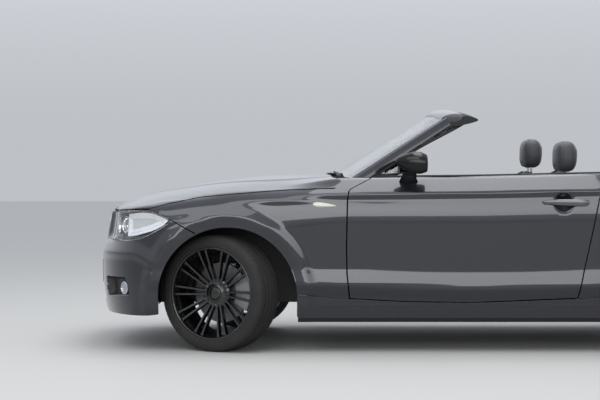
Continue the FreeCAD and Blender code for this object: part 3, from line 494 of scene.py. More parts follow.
def meshObject(name, points, faces, smooth=35.0):
    # Points in millimetres and their faces as one object in metres at the origin
    points, faces = np.asarray(points, dtype=float), np.asarray(faces)
    used = np.unique(faces)
    remap = np.full(len(points), -1)
    remap[used] = np.arange(len(used))
    points, faces = points[used], remap[faces]
    mesh = bpy.data.meshes.new(name)
    loops = []
    for face in faces.tolist():
        ring = [v for k, v in enumerate(face) if v != face[k - 1]]
        loops.append(ring)
    mesh.from_pydata((points * mm).tolist(), [], loops)
    mesh.validate()
    mesh.shade_smooth()
    mesh.set_sharp_from_angle(angle=math.radians(smooth))
    piece = bpy.data.objects.new(name, mesh)
    bpy.context.scene.collection.objects.link(piece)
    return piece


def flipped(points, faces):
    # The same form on the car's right side
    return points * np.array([1.0, -1.0, 1.0]), faces[:, ::-1]


def bothHalves(points, faces):
    right, rightFaces = flipped(points, faces)
    return np.concatenate([points, right]), np.concatenate([faces, rightFaces + len(points)])


def outwards(points, faces):
    # Faces turned so that most of them look away from the car's spine
    a = points[faces[:, 2]] - points[faces[:, 0]]
    b = points[faces[:, 3]] - points[faces[:, 1]]
    n = np.cross(a, b)
    mid = points[faces].mean(1)
    away = mid - np.stack([np.clip(mid[:, 0], -1300, 1300), 0 * mid[:, 0], 0 * mid[:, 0] + spine["z"]], 1)
    return faces if np.sum(n * away) > 0 else faces[:, ::-1]


def pieceFrom(name, points, faces, material, body, slotName, nodes=(), smooth=35.0):
    piece = meshObject(name, points, faces, smooth)
    piece.data.materials.append(material)
    if nodes:
        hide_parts(*nodes)
    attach(piece, body)
    return piece


def panelPair(name, outline, project, cell, material, bodies, nodes, holes=(), pressed=None, depth=24.0):
    # One body panel and its mirror image, pressed in where asked
    uv, faces = trimmedGrid(outline, cell, holes)
    points = project(uv)
    points = pressed(points) if pressed else points
    points, faces = sheetSolid(points, outwards(points, faces), depth)
    for side, body, node in zip(("left", "right"), bodies, nodes):
        form = (points, faces) if side == "left" else flipped(points, faces)
        pieceFrom(name + "_" + side, *form, material, body, "body_paint", [node])


# Shut lines in the side view, x and z, from nose to tail
shut = {
    "bonnet": [(2122, 740), (2060, 750), (1858, 760), (1750, 788), (1589, 820), (1427, 837),
               (1266, 850), (1105, 861), (943, 867), (862, 869)],
    "lampTip": (1727, 702), "bumperJoint": (1597, 629),
    "lampLow": [(1770, 668), (1840, 630), (1905, 600), (1990, 588), (2040, 590)],
    "doorFront": [(786, 288), (800, 420), (803, 560), (798, 800), (790, 862), (668, 926)],
    "doorRear": [(-420, 290), (-528, 812), (-560, 905), (-575, 948)],
    "sill": [(1067, 313), (786, 288), (500, 272), (150, 266), (-420, 288), (-855, 312)],
    "quarterJoint": [(-1580, 560), (-1800, 580), (-2000, 596), (-2200, 606)],
    "tailLamp": [(-1960, 786), (-1905, 735), (-1990, 655)],
    "kidney": [(18, 716), (175, 712), (200, 690), (188, 606), (150, 590), (40, 590), (18, 606)],
    "fog": [(480, 388), (722, 396), (750, 296), (600, 282), (496, 278)],
    "intake": [(0, 335), (400, 335), (440, 245), (0, 245)],
    "cowlX": 850, "cowlY": 764, "cockpitY": 716, "cockpitRearX": -1150, "bootFrontX": -1560,
    "bootHalf": 560, "bootLowZ": 612, "tonneauHalf": 690, "lampInnerY": 345, "tailLampInnerY": 566,
}
panel = {"cell": 9.0, "depth": 24.0, "cellFine": 7.5, "thin": 5.0}  # thin where the open door swings in behind


def shifted(points, dx=0.0, dz=0.0):
    return [(x + dx, z + dz) for x, z in points]


def withEnds(first, points, last):
    return [first] + list(points) + [last]


def frontFender():
    gap, cowl = car["gap"], shut["cowlY"]
    arch = spaced(toDome(onSide(arcLine(car["frontAxleX"], car["archRadius"], 1067, 309, *shut["bumperJoint"]))))
    return joined(arch[:-1], onSkin("side", [shut["bumperJoint"], shut["lampTip"], shut["bonnet"][2]], 0)[:-1],
                  onSkin("side", shut["bonnet"][2:], 30), onSkin("top", [(862, 797), (862, cowl)])[2:],
                  onSkin("top", [(862, cowl), (680, cowl)])[1:],
                  onSkin("side", shifted(shut["doorFront"], gap)[::-1], 12)[:-1], onSkin("side", [(791, 284), (1067, 309)])[:-1])


def doorSkin():
    y = shut["cockpitY"]
    low = [p for p in shut["sill"] if shut["doorRear"][0][0] < p[0] < shut["doorFront"][0][0]]
    return joined(onSkin("side", withEnds(shut["doorRear"][0], low[::-1], shut["doorFront"][0]), 60)[:-1],
                  onSkin("side", shut["doorFront"], 12), onSkin("top", [(666, 785), (662, y)])[1:-1],
                  onSkin("top", [(662, y), (-577, y)]), onSkin("top", [(-577, y), (-576, 780)])[1:-1],
                  onSkin("side", shut["doorRear"][::-1], 12)[:-1])


def sillSkin():
    gap = car["gap"]
    return joined(onSkin("side", [(-855, 186), (1067, 186)])[:-1], onSkin("side", [(1067, 186), (1067, 308)])[:-1],
                  onSkin("side", shifted(shut["sill"], 0, -gap), 60)[:-1], onSkin("side", [(-855, 307), (-855, 186)])[:-1])


def quarterSkin():
    gap, y, x = car["gap"], shut["cockpitY"], shut["cockpitRearX"]
    front, half, archEnd = shut["bootFrontX"], shut["bootHalf"] + gap, (-1493.6, 545.5)
    arch = spaced(toDome(onSide(arcLine(car["rearAxleX"], car["archRadius"], *archEnd, -855, 312))))
    inner = [(-582, y), (x, y), (x - 1, 695), (front + 3, 695), (front + 2, half), (-2060, half)]
    return joined(arch[:-1], onSkin("side", [(-855, 312), (-425, 285)])[:-1],
                  onSkin("side", shifted(shut["doorRear"], -gap), 12), onSkin("top", [(-580, 780), (-582, y)])[1:],
                  onSkin("top", inner, 4), onSkin("rear", [(half, 915), (half, 604)]),
                  onSkin("rear", [(half, 603), (690, 601)]), onSkin("side", [*shut["quarterJoint"][2::-1], archEnd], 20)[:-1])


def bonnetSkin():
    # Plan of the bonnet: side edges from the shut line, front edge round the nose just under the roll
    side = onSide(softLine(shifted(shut["bonnet"][2:], 0, 5), 30))
    corner = side[0]
    turn = math.degrees(math.atan2(corner[1], corner[0] - 1300))
    share = np.linspace(0, 1, 120)
    nose = onNose(np.stack([turn * share, 748 + (corner[2] - 748) * share ** 2], 1))
    edge = np.array([(shut["cowlX"] + 5, side[-1, 1]), (885, 500), (912, 250), (925, 0)], dtype=float)
    left = joined(spaced(nose[:-1, :2]), spaced(side[:, :2]))
    rear = spaced(softLine(np.concatenate([edge, edge[-2::-1] * (1, -1)]), 120))
    return joined(left, rear[1:-1], left[:0:-1] * (1, -1))


def toLid(p):
    # The boot line's two parameters, its angle as millimetres of turn
    return np.stack([p[..., 1], np.arctan2(-1700 - p[..., 0], p[..., 2] - 700) * 350.0], -1)


def bootSkin():
    front, half = shut["bootFrontX"] - 2, shut["bootHalf"]
    top = toLid(onTop(resample([(front, half), (-2040, half)], 60)))
    tail = toLid(onFront(resample([(half, 915), (half, shut["bootLowZ"])], 40), -1.0))
    low = toLid(onFront(resample([(half, shut["bootLowZ"]), (-half, shut["bootLowZ"])], 60), -1.0))
    high = toLid(onTop(resample([(front, -half), (front, half)], 60)))
    left = joined(top, tail)
    return joined(spaced(left)[:-1], spaced(low)[:-1], spaced(left[::-1] * (-1, 1))[:-1], spaced(high)[:-1])


def tonneauSkin():
    x0, x1, half, r = shut["bootFrontX"] + 3, shut["cockpitRearX"], shut["tonneauHalf"], 30
    return spaced(softLine([((x0 + x1) / 2, -half), (x1, -half), (x1, half), (x0, half), (x0, -half), ((x0 + x1) / 2, -half)], r))[:-1]


def tailEdge():
    # Outer tail lamp: tip and slanted edge on the flank, upright edge beside the boot lid
    inner = onFront(resample([(564, 646), (564, 788)], 30), -1.0)
    return softClosed(toDome(joined(onSide(resample(shut["tailLamp"], 60)), inner)), 8)


def grown(line, by):
    # A closed line moved outwards from its middle
    out = line - line.mean(0)
    return line + out / np.linalg.norm(out, axis=1, keepdims=True) * by


def lampEdge(grow=0.0):
    # Headlamp outline: inner upright edge, top line, tip, lower line
    low = onSide(softLine([shut["lampTip"], *shut["lampLow"]], 18))
    inner = onNose(np.stack([np.full(30, 22.3), np.linspace(592, 731, 30)], 1))
    noseTop = onNose(np.stack([np.linspace(23.5, 34, 20), np.linspace(735, 742, 20)], 1))
    top = onSide(softLine(shifted(shut["bonnet"][1:3], 0, -5), 8))
    return grown(softClosed(toDome(joined(low, inner, noseTop, top)), 6), grow)


def softClosed(line, radius):
    # A closed line with rounded corners, started in the middle of its longest side
    longest = np.argmax(np.linalg.norm(np.roll(line, -1, 0) - line, axis=1))
    middle = (line[longest] + line[(longest + 1) % len(line)]) / 2
    turned = np.concatenate([[middle], np.roll(line, -longest - 1, 0), [middle]])
    return spaced(softLine(turned, radius), 5.0)[:-1]


def frontHole(points, grow=0.0, radius=14.0):
    # A closed outline given in the front view, as the spine's parameters
    p = softClosed(np.asarray(points, dtype=float), radius)
    return grown(toDome(onFront(p)), grow)


def frontBumperSkin():
    noseTop = onNose(np.stack([np.linspace(0, 34, 60), np.linspace(737, 742, 60)], 1))
    side = onSide(resample([shut["bonnet"][2], shut["lampTip"], shut["bumperJoint"]], 100) - (0, 5))
    arch = onSide(arcLine(car["frontAxleX"], car["archRadius"], *shut["bumperJoint"], 1805, 190))
    under = onNose(np.stack([np.linspace(50, 0, 100), np.full(100, 190.0)], 1))
    notch = softLine([(0, 245), (440, 245), (400, 335), (0, 335)], 16)
    centre = onFront(joined(resample([(0, 190), (0, 245)], 8)[:-1], notch, resample([(0, 335), (0, 737)], 50)[1:]))
    return joined(spaced(toDome(noseTop))[:-1], spaced(toDome(side))[:-1], spaced(toDome(arch))[:-1],
                  spaced(toDome(under))[:-1], spaced(toDome(centre))[:-1])


def rearBumperSkin():
    joint = onSkin("side", [(-1493.6, 541), *shifted(shut["quarterJoint"][:3], 0, -4)], 20)
    arch = spaced(toDome(onSide(arcLine(car["rearAxleX"], car["archRadius"], -1493.6, 541, -1591, 197)[::-1])))
    under = toDome(onEnd(np.stack([np.linspace(0, 50, 90), np.full(90, 197.0)], 1), -1300.0))
    return joined(arch[:-1], joint, onSkin("rear", [(690, 597), (0, 606)]), onSkin("rear", [(0, 606), (0, 197)])[1:-1],
                  spaced(under)[:-1], onSkin("side", [(-1840, 197), (-1591, 197)])[:-1])


def creased(points):
    # Bonnet: the middle stands a little proud of the sides, between two lines that open towards the screen
    line = 200 + (2090 - points[:, 0]) * 0.30
    out = points.copy()
    out[:, 2] += 5.0 * (1 - easeIn((np.abs(points[:, 1]) - line) / 45)) * easeIn((2095 - points[:, 0]) / 160)
    return out


def bodyPanels():
    paint, both = bodyPaint(), ("root", "root")
    cell, fine = panel["cell"], panel["cellFine"]

    def pairOf(node):
        return node + "_left", node + "_right"

    panelPair("wing", frontFender(), onDome, cell, paint, both, pairOf("front_fender"), depth=panel["thin"])
    panelPair("door_skin", doorSkin(), onDome, cell, paint, pairOf("door"), pairOf("door"), (), handleCup)
    panelPair("sill_skin", sillSkin(), onDome, cell, paint, both, pairOf("side_sill"), depth=panel["thin"])
    panelPair("quarter", quarterSkin(), onDome, cell, paint, both, pairOf("quarter_panel"), [grown(tailEdge(), 2.5)])
    wholePanel("bonnet_skin", bonnetSkin(), lambda uv: creased(onTop(uv)), paint, "bonnet", "bonnet")
    wholePanel("boot_skin", bootSkin(), lambda uv: onLid(uv * (1, 1 / 350.0)), paint, "boot_lid", "boot_lid")
    wholePanel("tonneau_skin", tonneauSkin(), onTop, paint, "root", "soft_top_cover")
    holes = [lampEdge(3.0), frontHole(shut["kidney"], 1.0), frontHole(shut["fog"], 0, 24)]
    mirroredPanel("bumper_skin_front", frontBumperSkin(), fine, holes, paint, "front_bumper")
    mirroredPanel("bumper_skin_rear", rearBumperSkin(), fine, [], paint, "rear_bumper")


def wholePanel(name, outline, project, material, body, node):
    uv, faces = trimmedGrid(outline, 12.0)
    points = project(uv)
    points, faces = sheetSolid(points, outwards(points, faces), panel["depth"])
    return pieceFrom(name, points, faces, material, body, "body_paint", [node])


def mirroredPanel(name, outline, cell, holes, material, node):
    # The left half of a panel and its mirror image, joined at the middle plane
    uv, faces = trimmedGrid(outline, cell, holes)
    points = onDome(uv)
    points[np.abs(points[:, 1]) < 0.5, 1] = 0.0
    points, faces = bothHalves(points, outwards(points, faces))
    points, faces = sheetSolid(points, faces, panel["depth"])
    return pieceFrom(name, points, faces, material, "root", "body_paint", [node])


def fromHex(code):
    # sRGB hex value to a linear colour
    rgb = [int(code[i:i + 2], 16) / 255 for i in (1, 3, 5)]
    return tuple(c / 12.92 if c <= 0.04045 else ((c + 0.055) / 1.055) ** 2.4 for c in rgb) + (1.0,)


def addNode(tree, kind, settings=None, **sockets):
    # A node with its settings, and its sockets set to values or linked from other nodes' sockets
    node = tree.nodes.new("ShaderNode" + kind)
    for name, value in (settings or {}).items():
        setattr(node, name, value)
    for name, value in sockets.items():
        key = int(name[1:]) if name[0] == "n" and name[1:].isdigit() else name.replace("_", " ")
        if isinstance(value, bpy.types.NodeSocket):
            tree.links.new(value, node.inputs[key])
        else:
            node.inputs[key].default_value = value
    return node


def newMaterial(name, colour, **shader):
    # A principled material with Object coordinates in metres
    material = bpy.data.materials.new(name)
    material.use_nodes = True
    tree = material.node_tree
    tree.nodes.clear()
    surface = addNode(tree, "BsdfPrincipled", None, Base_Color=fromHex(colour), **shader)
    out = addNode(tree, "OutputMaterial", None, Surface=surface.outputs[0])
    place = addNode(tree, "TexCoord").outputs["Object"]
    material.diffuse_color = fromHex(colour)
    return material, tree, surface, place


def bumpInto(tree, surface, height, distance, strength=1.0):
    bump = addNode(tree, "Bump", None, Strength=strength, Distance=distance, Height=height)
    tree.links.new(bump.outputs[0], surface.inputs["Normal"])
    return bump


def bodyPaint():
    # Metallic basecoat under clear lacquer: dark graphite, flakes drawn at 2 mm so that they show
    if "paint" in materials:
        return materials["paint"]
    m, tree, surface, place = newMaterial("graphite_metallic_paint", "#24262c", Metallic=0.7, Roughness=0.3,
                                          Coat_Weight=1.0, Coat_Roughness=0.03)
    flake = addNode(tree, "TexVoronoi", None, Vector=place, Scale=500.0)
    tone = addNode(tree, "MixRGB", None, Fac=flake.outputs["Distance"], Color1=fromHex("#2c2e35"), Color2=fromHex("#1c1d22"))
    tree.links.new(tone.outputs[0], surface.inputs["Base Color"])
    materials["paint"] = m
    return m


def stage():
    floorMaterial, tree, surface, place = newMaterial("studio_floor", "#b2b2af", Roughness=0.7)
    mesh = bpy.data.meshes.new("studio_floor")
    r = 60.0
    mesh.from_pydata([(-r, -r, 0), (r, -r, 0), (r, r, 0), (-r, r, 0)], [], [(0, 1, 2, 3)])
    ground = bpy.data.objects.new("studio_floor", mesh)
    bpy.context.scene.collection.objects.link(ground)
    mesh.materials.append(floorMaterial)
    ground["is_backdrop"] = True
    world = bpy.data.worlds.new("studio")
    bpy.context.scene.world = world
    world.use_nodes = True
    tree = world.node_tree
    # Soft dome, paler above the horizon than at it
    height = addNode(tree, "SeparateXYZ", None, Vector=addNode(tree, "TexCoord").outputs["Generated"]).outputs["Z"]
    share = addNode(tree, "MapRange", {"interpolation_type": "SMOOTHSTEP"}, Value=height, n1=0.02, n2=0.26, n3=0.0, n4=1.0)
    tone = addNode(tree, "MixRGB", None, Fac=share.outputs[0], Color1=fromHex("#c2c6cb"), Color2=fromHex("#f2f6ff"))
    tree.links.new(tone.outputs[0], tree.nodes["Background"].inputs[0])
    tree.nodes["Background"].inputs[1].default_value = 0.95


def softLight(name, place, target, size, power, spread=180):
    light = bpy.data.lights.new(name, "AREA")
    light.shape = "RECTANGLE"
    light.size, light.size_y = size
    light.energy = power
    light.spread = math.radians(spread)
    lamp = bpy.data.objects.new(name, light)
    bpy.context.scene.collection.objects.link(lamp)
    lamp.location = place
    lamp.visible_camera = False
    aim = np.array(target) - np.array(place)
    lamp.rotation_euler = (math.atan2(math.hypot(aim[0], aim[1]), -aim[2]), 0, math.atan2(aim[1], aim[0]) - math.pi / 2)


photoView = {"x": 1.051, "y": 9.8, "z": 0.920, "pitchDown": 0.71, "lens": 101.5}


def camera():
    data = bpy.data.cameras.new("photo_view")
    data.sensor_width = 36.0
    data.lens = photoView["lens"]
    eye = bpy.data.objects.new("photo_view", data)
    bpy.context.scene.collection.objects.link(eye)
    eye.location = (photoView["x"], photoView["y"], photoView["z"])
    eye.rotation_euler = (math.radians(90 - photoView["pitchDown"]), 0, math.pi)
    bpy.context.scene.camera = eye


def once(name, make):
    if name not in materials:
        materials[name] = make()
    return materials[name]


def blackLacquer():
    # Cast aluminium wheel under black gloss lacquer: deep black with a clear highlight
    def make():
        m, tree, surface, place = newMaterial("black_wheel_lacquer", "#070708", Metallic=0.0, Roughness=0.28, Coat_Weight=0.5,
                                              Coat_Roughness=0.06)
        dust = addNode(tree, "TexNoise", None, Vector=place, Scale=60.0, Detail=4.0)
        tone = addNode(tree, "MapRange", None, Value=dust.outputs[0], n1=0.35, n2=0.75, n3=0.22, n4=0.42)
        tree.links.new(tone.outputs[0], surface.inputs["Roughness"])
        return m
    return once("lacquer", make)


def brakeSteel():
    # Turned cast iron brake disc: fine rings about the axle, dull at the hat
    def make():
        m, tree, surface, place = newMaterial("turned_brake_iron", "#77777a", Metallic=0.9, Roughness=0.42)
        grain = addNode(tree, "TexNoise", None, Vector=place, Scale=220.0, Detail=3.0)
        bumpInto(tree, surface, grain.outputs[0], 0.0004)
        return m
    return once("disc", make)


def tyreRubber():
    # Filled tyre rubber: matt dark grey, dusty in patches that fall at random
    def make():
        m, tree, surface, place = newMaterial("tyre_rubber", "#141414", Roughness=0.8)
        dust = addNode(tree, "TexNoise", None, Vector=place, Scale=18.0, Detail=6.0)
        tone = addNode(tree, "MixRGB", None, Fac=dust.outputs[0], Color1=fromHex("#0f0f0f"), Color2=fromHex("#262523"))
        tree.links.new(tone.outputs[0], surface.inputs["Base Color"])
        grain = addNode(tree, "TexNoise", None, Vector=place, Scale=900.0, Detail=2.0)
        bumpInto(tree, surface, grain.outputs[0], 0.0005, 0.6)
        return m
    return once("rubber", make)


def blackPlastic():
    # Moulded polypropylene with a fine spark-eroded grain, 1.2 mm
    def make():
        m, tree, surface, place = newMaterial("moulded_black_plastic", "#161618", Roughness=0.55)
        grain = addNode(tree, "TexVoronoi", None, Vector=place, Scale=830.0)
        bumpInto(tree, surface, grain.outputs["Distance"], 0.0003, 0.5)
        return m
    return once("black", make)


def glossBlack():
    # Gloss black moulded ABS: mirror-like with a soft depth
    def make():
        m, tree, surface, place = newMaterial("gloss_black_abs", "#040405", Roughness=0.2, Specular_IOR_Level=0.35)
        wave = addNode(tree, "TexNoise", None, Vector=place, Scale=9.0)
        bumpInto(tree, surface, wave.outputs[0], 0.0008, 0.15)
        return m
    return once("gloss", make)


def sealRubber():
    # Extruded weather seal: matt black, slightly blue-grey with age
    def make():
        m, tree, surface, place = newMaterial("weather_seal_rubber", "#101113", Roughness=0.7)
        grain = addNode(tree, "TexNoise", None, Vector=place, Scale=500.0)
        bumpInto(tree, surface, grain.outputs[0], 0.0003, 0.4)
        return m
    return once("seal", make)


def chrome():
    # Chrome plated trim: near white metal with faint waviness
    def make():
        m, tree, surface, place = newMaterial("chrome_plate", "#d4d6d8", Metallic=1.0, Roughness=0.07)
        wave = addNode(tree, "TexNoise", None, Vector=place, Scale=14.0)
        bumpInto(tree, surface, wave.outputs[0], 0.0006, 0.2)
        return m
    return once("chrome", make)


def castAluminium():
    # Sand cast aluminium: pale grey, grainy, a little dirty in its hollows
    def make():
        m, tree, surface, place = newMaterial("cast_aluminium", "#a3a4a5", Metallic=0.85, Roughness=0.5)
        grain = addNode(tree, "TexNoise", None, Vector=place, Scale=350.0, Detail=4.0)
        tone = addNode(tree, "MixRGB", None, Fac=grain.outputs[0], Color1=fromHex("#7f8081"), Color2=fromHex("#b4b5b6"))
        tree.links.new(tone.outputs[0], surface.inputs["Base Color"])
        bumpInto(tree, surface, grain.outputs[0], 0.0006, 0.6)
        return m
    return once("cast", make)


def undercoat():
    # Welded body steel under dark underseal: matt, slightly stippled
    def make():
        m, tree, surface, place = newMaterial("underseal", "#1d1e20", Roughness=0.8)
        grain = addNode(tree, "TexNoise", None, Vector=place, Scale=160.0, Detail=5.0)
        bumpInto(tree, surface, grain.outputs[0], 0.0015, 0.5)
        return m
    return once("under", make)


def clearGlass():
    # Laminated screen glass with a faint green edge
    def make():
        m, tree, surface, place = newMaterial("screen_glass", "#eef4f2", Roughness=0.0, Transmission_Weight=1.0, IOR=1.45)
        return m
    return once("glass", make)


def clearPlastic():
    # Clear polycarbonate lamp cover
    def make():
        m, tree, surface, place = newMaterial("clear_polycarbonate", "#ffffff", Roughness=0.02, Transmission_Weight=1.0, IOR=1.25)
        return m
    return once("lens", make)


def redLens():
    # Red and smoked acrylic lamp cover with fine upright flutes, 6 mm apart
    def make():
        m, tree, surface, place = newMaterial("red_lamp_acrylic", "#8f0f10", Roughness=0.08, Coat_Weight=1.0, Coat_Roughness=0.02)
        flutes = addNode(tree, "TexWave", {"bands_direction": "Z"}, Vector=place, Scale=26.0)
        bumpInto(tree, surface, flutes.outputs[0], 0.002, 0.4)
        return m
    return once("red", make)


def lampMirror():
    # Aluminised lamp reflector: bright, faintly rippled
    def make():
        m, tree, surface, place = newMaterial("aluminised_reflector", "#f2f4f5", Metallic=1.0, Roughness=0.12)
        ripple = addNode(tree, "TexNoise", None, Vector=place, Scale=40.0)
        bumpInto(tree, surface, ripple.outputs[0], 0.002, 0.3)
        return m
    return once("reflector", make)


def leather():
    # Dark grey grained upholstery leather, pebbles 2 mm across, a soft sheen on the raised grain
    def make():
        m, tree, surface, place = newMaterial("grained_leather", "#2e2e31", Roughness=0.48, Sheen_Weight=0.15)
        pebble = addNode(tree, "TexVoronoi", {"feature": "SMOOTH_F1"}, Vector=place, Scale=480.0)
        cloud = addNode(tree, "TexNoise", None, Vector=place, Scale=7.0, Detail=4.0)
        tone = addNode(tree, "MixRGB", None, Fac=cloud.outputs[0], Color1=fromHex("#28282b"), Color2=fromHex("#3a3a3e"))
        tree.links.new(tone.outputs[0], surface.inputs["Base Color"])
        bumpInto(tree, surface, pebble.outputs["Distance"], 0.0008, 0.7)
        return m
    return once("leather", make)


def dashPlastic():
    # Slush-moulded dash skin, soft black with a leather-like grain
    def make():
        m, tree, surface, place = newMaterial("soft_dash_skin", "#1e1e21", Roughness=0.62)
        grain = addNode(tree, "TexVoronoi", None, Vector=place, Scale=600.0)
        bumpInto(tree, surface, grain.outputs["Distance"], 0.0005, 0.6)
        return m
    return once("dash", make)


def carpet():
    # Needle-felt carpet, fibre tufts drawn at 3 mm
    def make():
        m, tree, surface, place = newMaterial("needle_felt_carpet", "#202023", Roughness=0.95, Sheen_Weight=0.3)
        tuft = addNode(tree, "TexNoise", None, Vector=place, Scale=330.0, Detail=5.0)
        tone = addNode(tree, "MixRGB", None, Fac=tuft.outputs[0], Color1=fromHex("#141416"), Color2=fromHex("#313135"))
        tree.links.new(tone.outputs[0], surface.inputs["Base Color"])
        bumpInto(tree, surface, tuft.outputs[0], 0.002, 0.9)
        return m
    return once("carpet", make)


def whitePlate():
    # Blank pressed aluminium plate in white reflective film
    def make():
        m, tree, surface, place = newMaterial("blank_plate", "#e8e8e4", Roughness=0.35)
        film = addNode(tree, "TexVoronoi", None, Vector=place, Scale=400.0)
        bumpInto(tree, surface, film.outputs["Distance"], 0.0002, 0.3)
        return m
    return once("plate", make)


def steelGrey():
    def make():
        m, tree, surface, place = newMaterial("bare_steel", "#8d8f92", Metallic=0.9, Roughness=0.4)
        grain = addNode(tree, "TexNoise", None, Vector=place, Scale=300.0)
        bumpInto(tree, surface, grain.outputs[0], 0.0004, 0.5)
        return m
    return once("steel", make)


def dressNodes():
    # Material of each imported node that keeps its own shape
    finish = {
        "paint": (bodyPaint, ["bonnet", "front_fender", "door", "quarter_panel", "boot_lid", "soft_top_cover", "bumper", "sill",
                              "windscreen_frame"]),
        "cast": (castAluminium, ["caliper", "knuckle", "engine"]),
        "steel": (steelGrey, ["axle", "hinges", "exhaust"]),
        "plastic": (blackPlastic, ["liner", "cowl", "wipers", "kidney_grille", "interior_mirror", "handle", "mirror"]),
        "under": (undercoat, ["body_floor", "boot_floor", "front_frame"]),
        "dash": (dashPlastic, ["dashboard", "console", "steering_wheel"]),
        "leather": (leather, ["seat"]),
        "tyre": (tyreRubber, ["tyre"]), "rim": (blackLacquer, ["wheel_left", "wheel_right"]),
        "lens": (clearPlastic, ["headlight"]), "red": (redLens, ["tail_lamp"]), "glass": (clearGlass, ["windscreen_glass"]),
    }
    for name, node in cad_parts.items():
        node.data.materials.clear()
        chosen = [make for make, words in finish.values() for word in words if word in name]
        node.data.materials.append(chosen[-1]())


def facingOut(points, faces):
    # Faces of a closed form turned so that its volume is positive
    p = points - points.mean(0)
    a, b, c, d = (p[faces[:, k]] for k in range(4))
    volume = np.sum(np.cross(a, b) * c) + np.sum(np.cross(a, c) * d)
    return points, (faces if volume > 0 else faces[:, ::-1])


def loft(rings, closedAlong=False, caps=True):
    # Closed rings joined one after another into a skin, a fan of triangles over each end
    rings = np.asarray(rings, dtype=float)
    n, m = rings.shape[:2]
    points = rings.reshape(-1, 3)
    i = np.arange(n * m).reshape(n, m)
    a = i if closedAlong else i[:-1]
    b = np.roll(i, -1, 0) if closedAlong else i[1:]
    faces = np.stack([a, b, np.roll(b, -1, 1), np.roll(a, -1, 1)], -1).reshape(-1, 4)
    if caps and not closedAlong:
        for k, end in enumerate((i[0], i[-1])):
            middle = np.full(m, len(points))
            points = np.concatenate([points, rings[-k].mean(0)[None]])
            fan = np.stack([np.roll(end, -1), end, middle, middle], 1)
            faces = np.concatenate([faces, fan if k == 0 else fan[:, [1, 0, 2, 3]]])
    return facingOut(points, faces)


def revolve(profile, count=96, arc=None):
    # A closed outline in radius and y, turned about the Y axis at even steps of angle; arc is not used
    p = np.asarray(profile, dtype=float)
    a = np.linspace(0, 2 * np.pi, count, endpoint=False)[:, None]
    rings = np.stack([p[:, 0] * np.cos(a), p[:, 1] + 0 * a, p[:, 0] * np.sin(a)], -1)
    return loft(rings, closedAlong=True)


def merge(*forms):
    points, faces, base = [], [], 0
    for p, f in forms:
        points.append(p)
        faces.append(f + base)
        base += len(p)
    return np.concatenate(points), np.concatenate(faces)


def bead(path, normal, profile, closed=False):
    # A profile (across, out) carried along a path on a surface with the given normals
    path, normal = np.asarray(path, dtype=float), np.asarray(normal, dtype=float)
    along = np.roll(path, -1, 0) - np.roll(path, 1, 0) if closed else np.gradient(path, axis=0)
    along /= np.linalg.norm(along, axis=1, keepdims=True)
    across = np.cross(along, normal)
    across /= np.linalg.norm(across, axis=1, keepdims=True)
    out = np.cross(across, along)
    q = np.asarray(profile, dtype=float)
    if q.ndim == 2:
        q = np.broadcast_to(q, (len(path), *q.shape))
    rings = path[:, None] + across[:, None] * q[..., :1] + out[:, None] * q[..., 1:]
    return loft(rings, closedAlong=closed)


def roundProfile(rx, ry=None, count=12, dx=0.0, dy=0.0):
    a = np.linspace(0, 2 * np.pi, count, endpoint=False)
    return np.stack([dx + rx * np.cos(a), dy + (ry or rx) * np.sin(a)], 1)


def roundedBox(x0, x1, y0, y1, z0, z1, radius=6.0, around=8, power=None):
    # A box with rounded corners in plan and rounded rims, as rings from bottom to top
    hx, hy, cx, cy = (x1 - x0) / 2, (y1 - y0) / 2, (x0 + x1) / 2, (y0 + y1) / 2
    r = min(radius, hx, hy, (z1 - z0) / 2)
    a = np.radians(np.concatenate([np.linspace(q, q + 90, around) for q in (0, 90, 180, 270)]))
    sx, sy = np.sign(np.cos(a + 1e-9 * 0) + 0), 0
    quarter = np.repeat([(1, 1), (-1, 1), (-1, -1), (1, -1)], around, axis=0)
    rings = []
    for t in np.linspace(-90, 90, 2 * around):
        s = r * math.cos(math.radians(t))
        z = (z0 + r if t < 0 else z1 - r) + r * math.sin(math.radians(t))
        x = cx + quarter[:, 0] * (hx - r) + s * np.cos(a)
        y = cy + quarter[:, 1] * (hy - r) + s * np.sin(a)
        rings.append(np.stack([x, y, np.full_like(x, z)], 1))
    return loft(rings)


def superEllipsoid(centre, half, round_=(0.6, 0.6), count=(28, 48)):
    # x, y, z = half sizes by signed powers of cosine and sine of two angles
    v = np.linspace(-np.pi / 2, np.pi / 2, count[0])[1:-1, None]
    u = np.linspace(0, 2 * np.pi, count[1], endpoint=False)[None]

    def power(c, e):
        return np.sign(c) * np.abs(c) ** e

    x = power(np.cos(v), round_[0]) * power(np.cos(u), round_[1])
    y = power(np.cos(v), round_[0]) * power(np.sin(u), round_[1])
    z = power(np.sin(v), round_[0]) + 0 * u
    rings = np.stack([x, y, z], -1) * half + centre
    return loft(rings)


def turnZ(points, degrees, about=(0.0, 0.0, 0.0)):
    a = math.radians(degrees)
    spin = np.array([[math.cos(a), -math.sin(a), 0], [math.sin(a), math.cos(a), 0], [0, 0, 1]])
    return (points - about) @ spin.T + about


def turnY(points, degrees, about=(0.0, 0.0, 0.0)):
    a = math.radians(degrees)
    spin = np.array([[math.cos(a), 0, math.sin(a)], [0, 1, 0], [-math.sin(a), 0, math.cos(a)]])
    return (points - about) @ spin.T + about


wheel = {"rimR": 246, "lipY": 101, "tyreR": 311, "tyreHalf": 107.5, "pairs": 10, "phase": -3.0, "boltPhase": 43.0, "barFace": 9.0,
         "barBack": 15.0, "splay": 4.0, "gap": 9.5, "boltCircle": 60, "discR": 160, "blocks": 68}


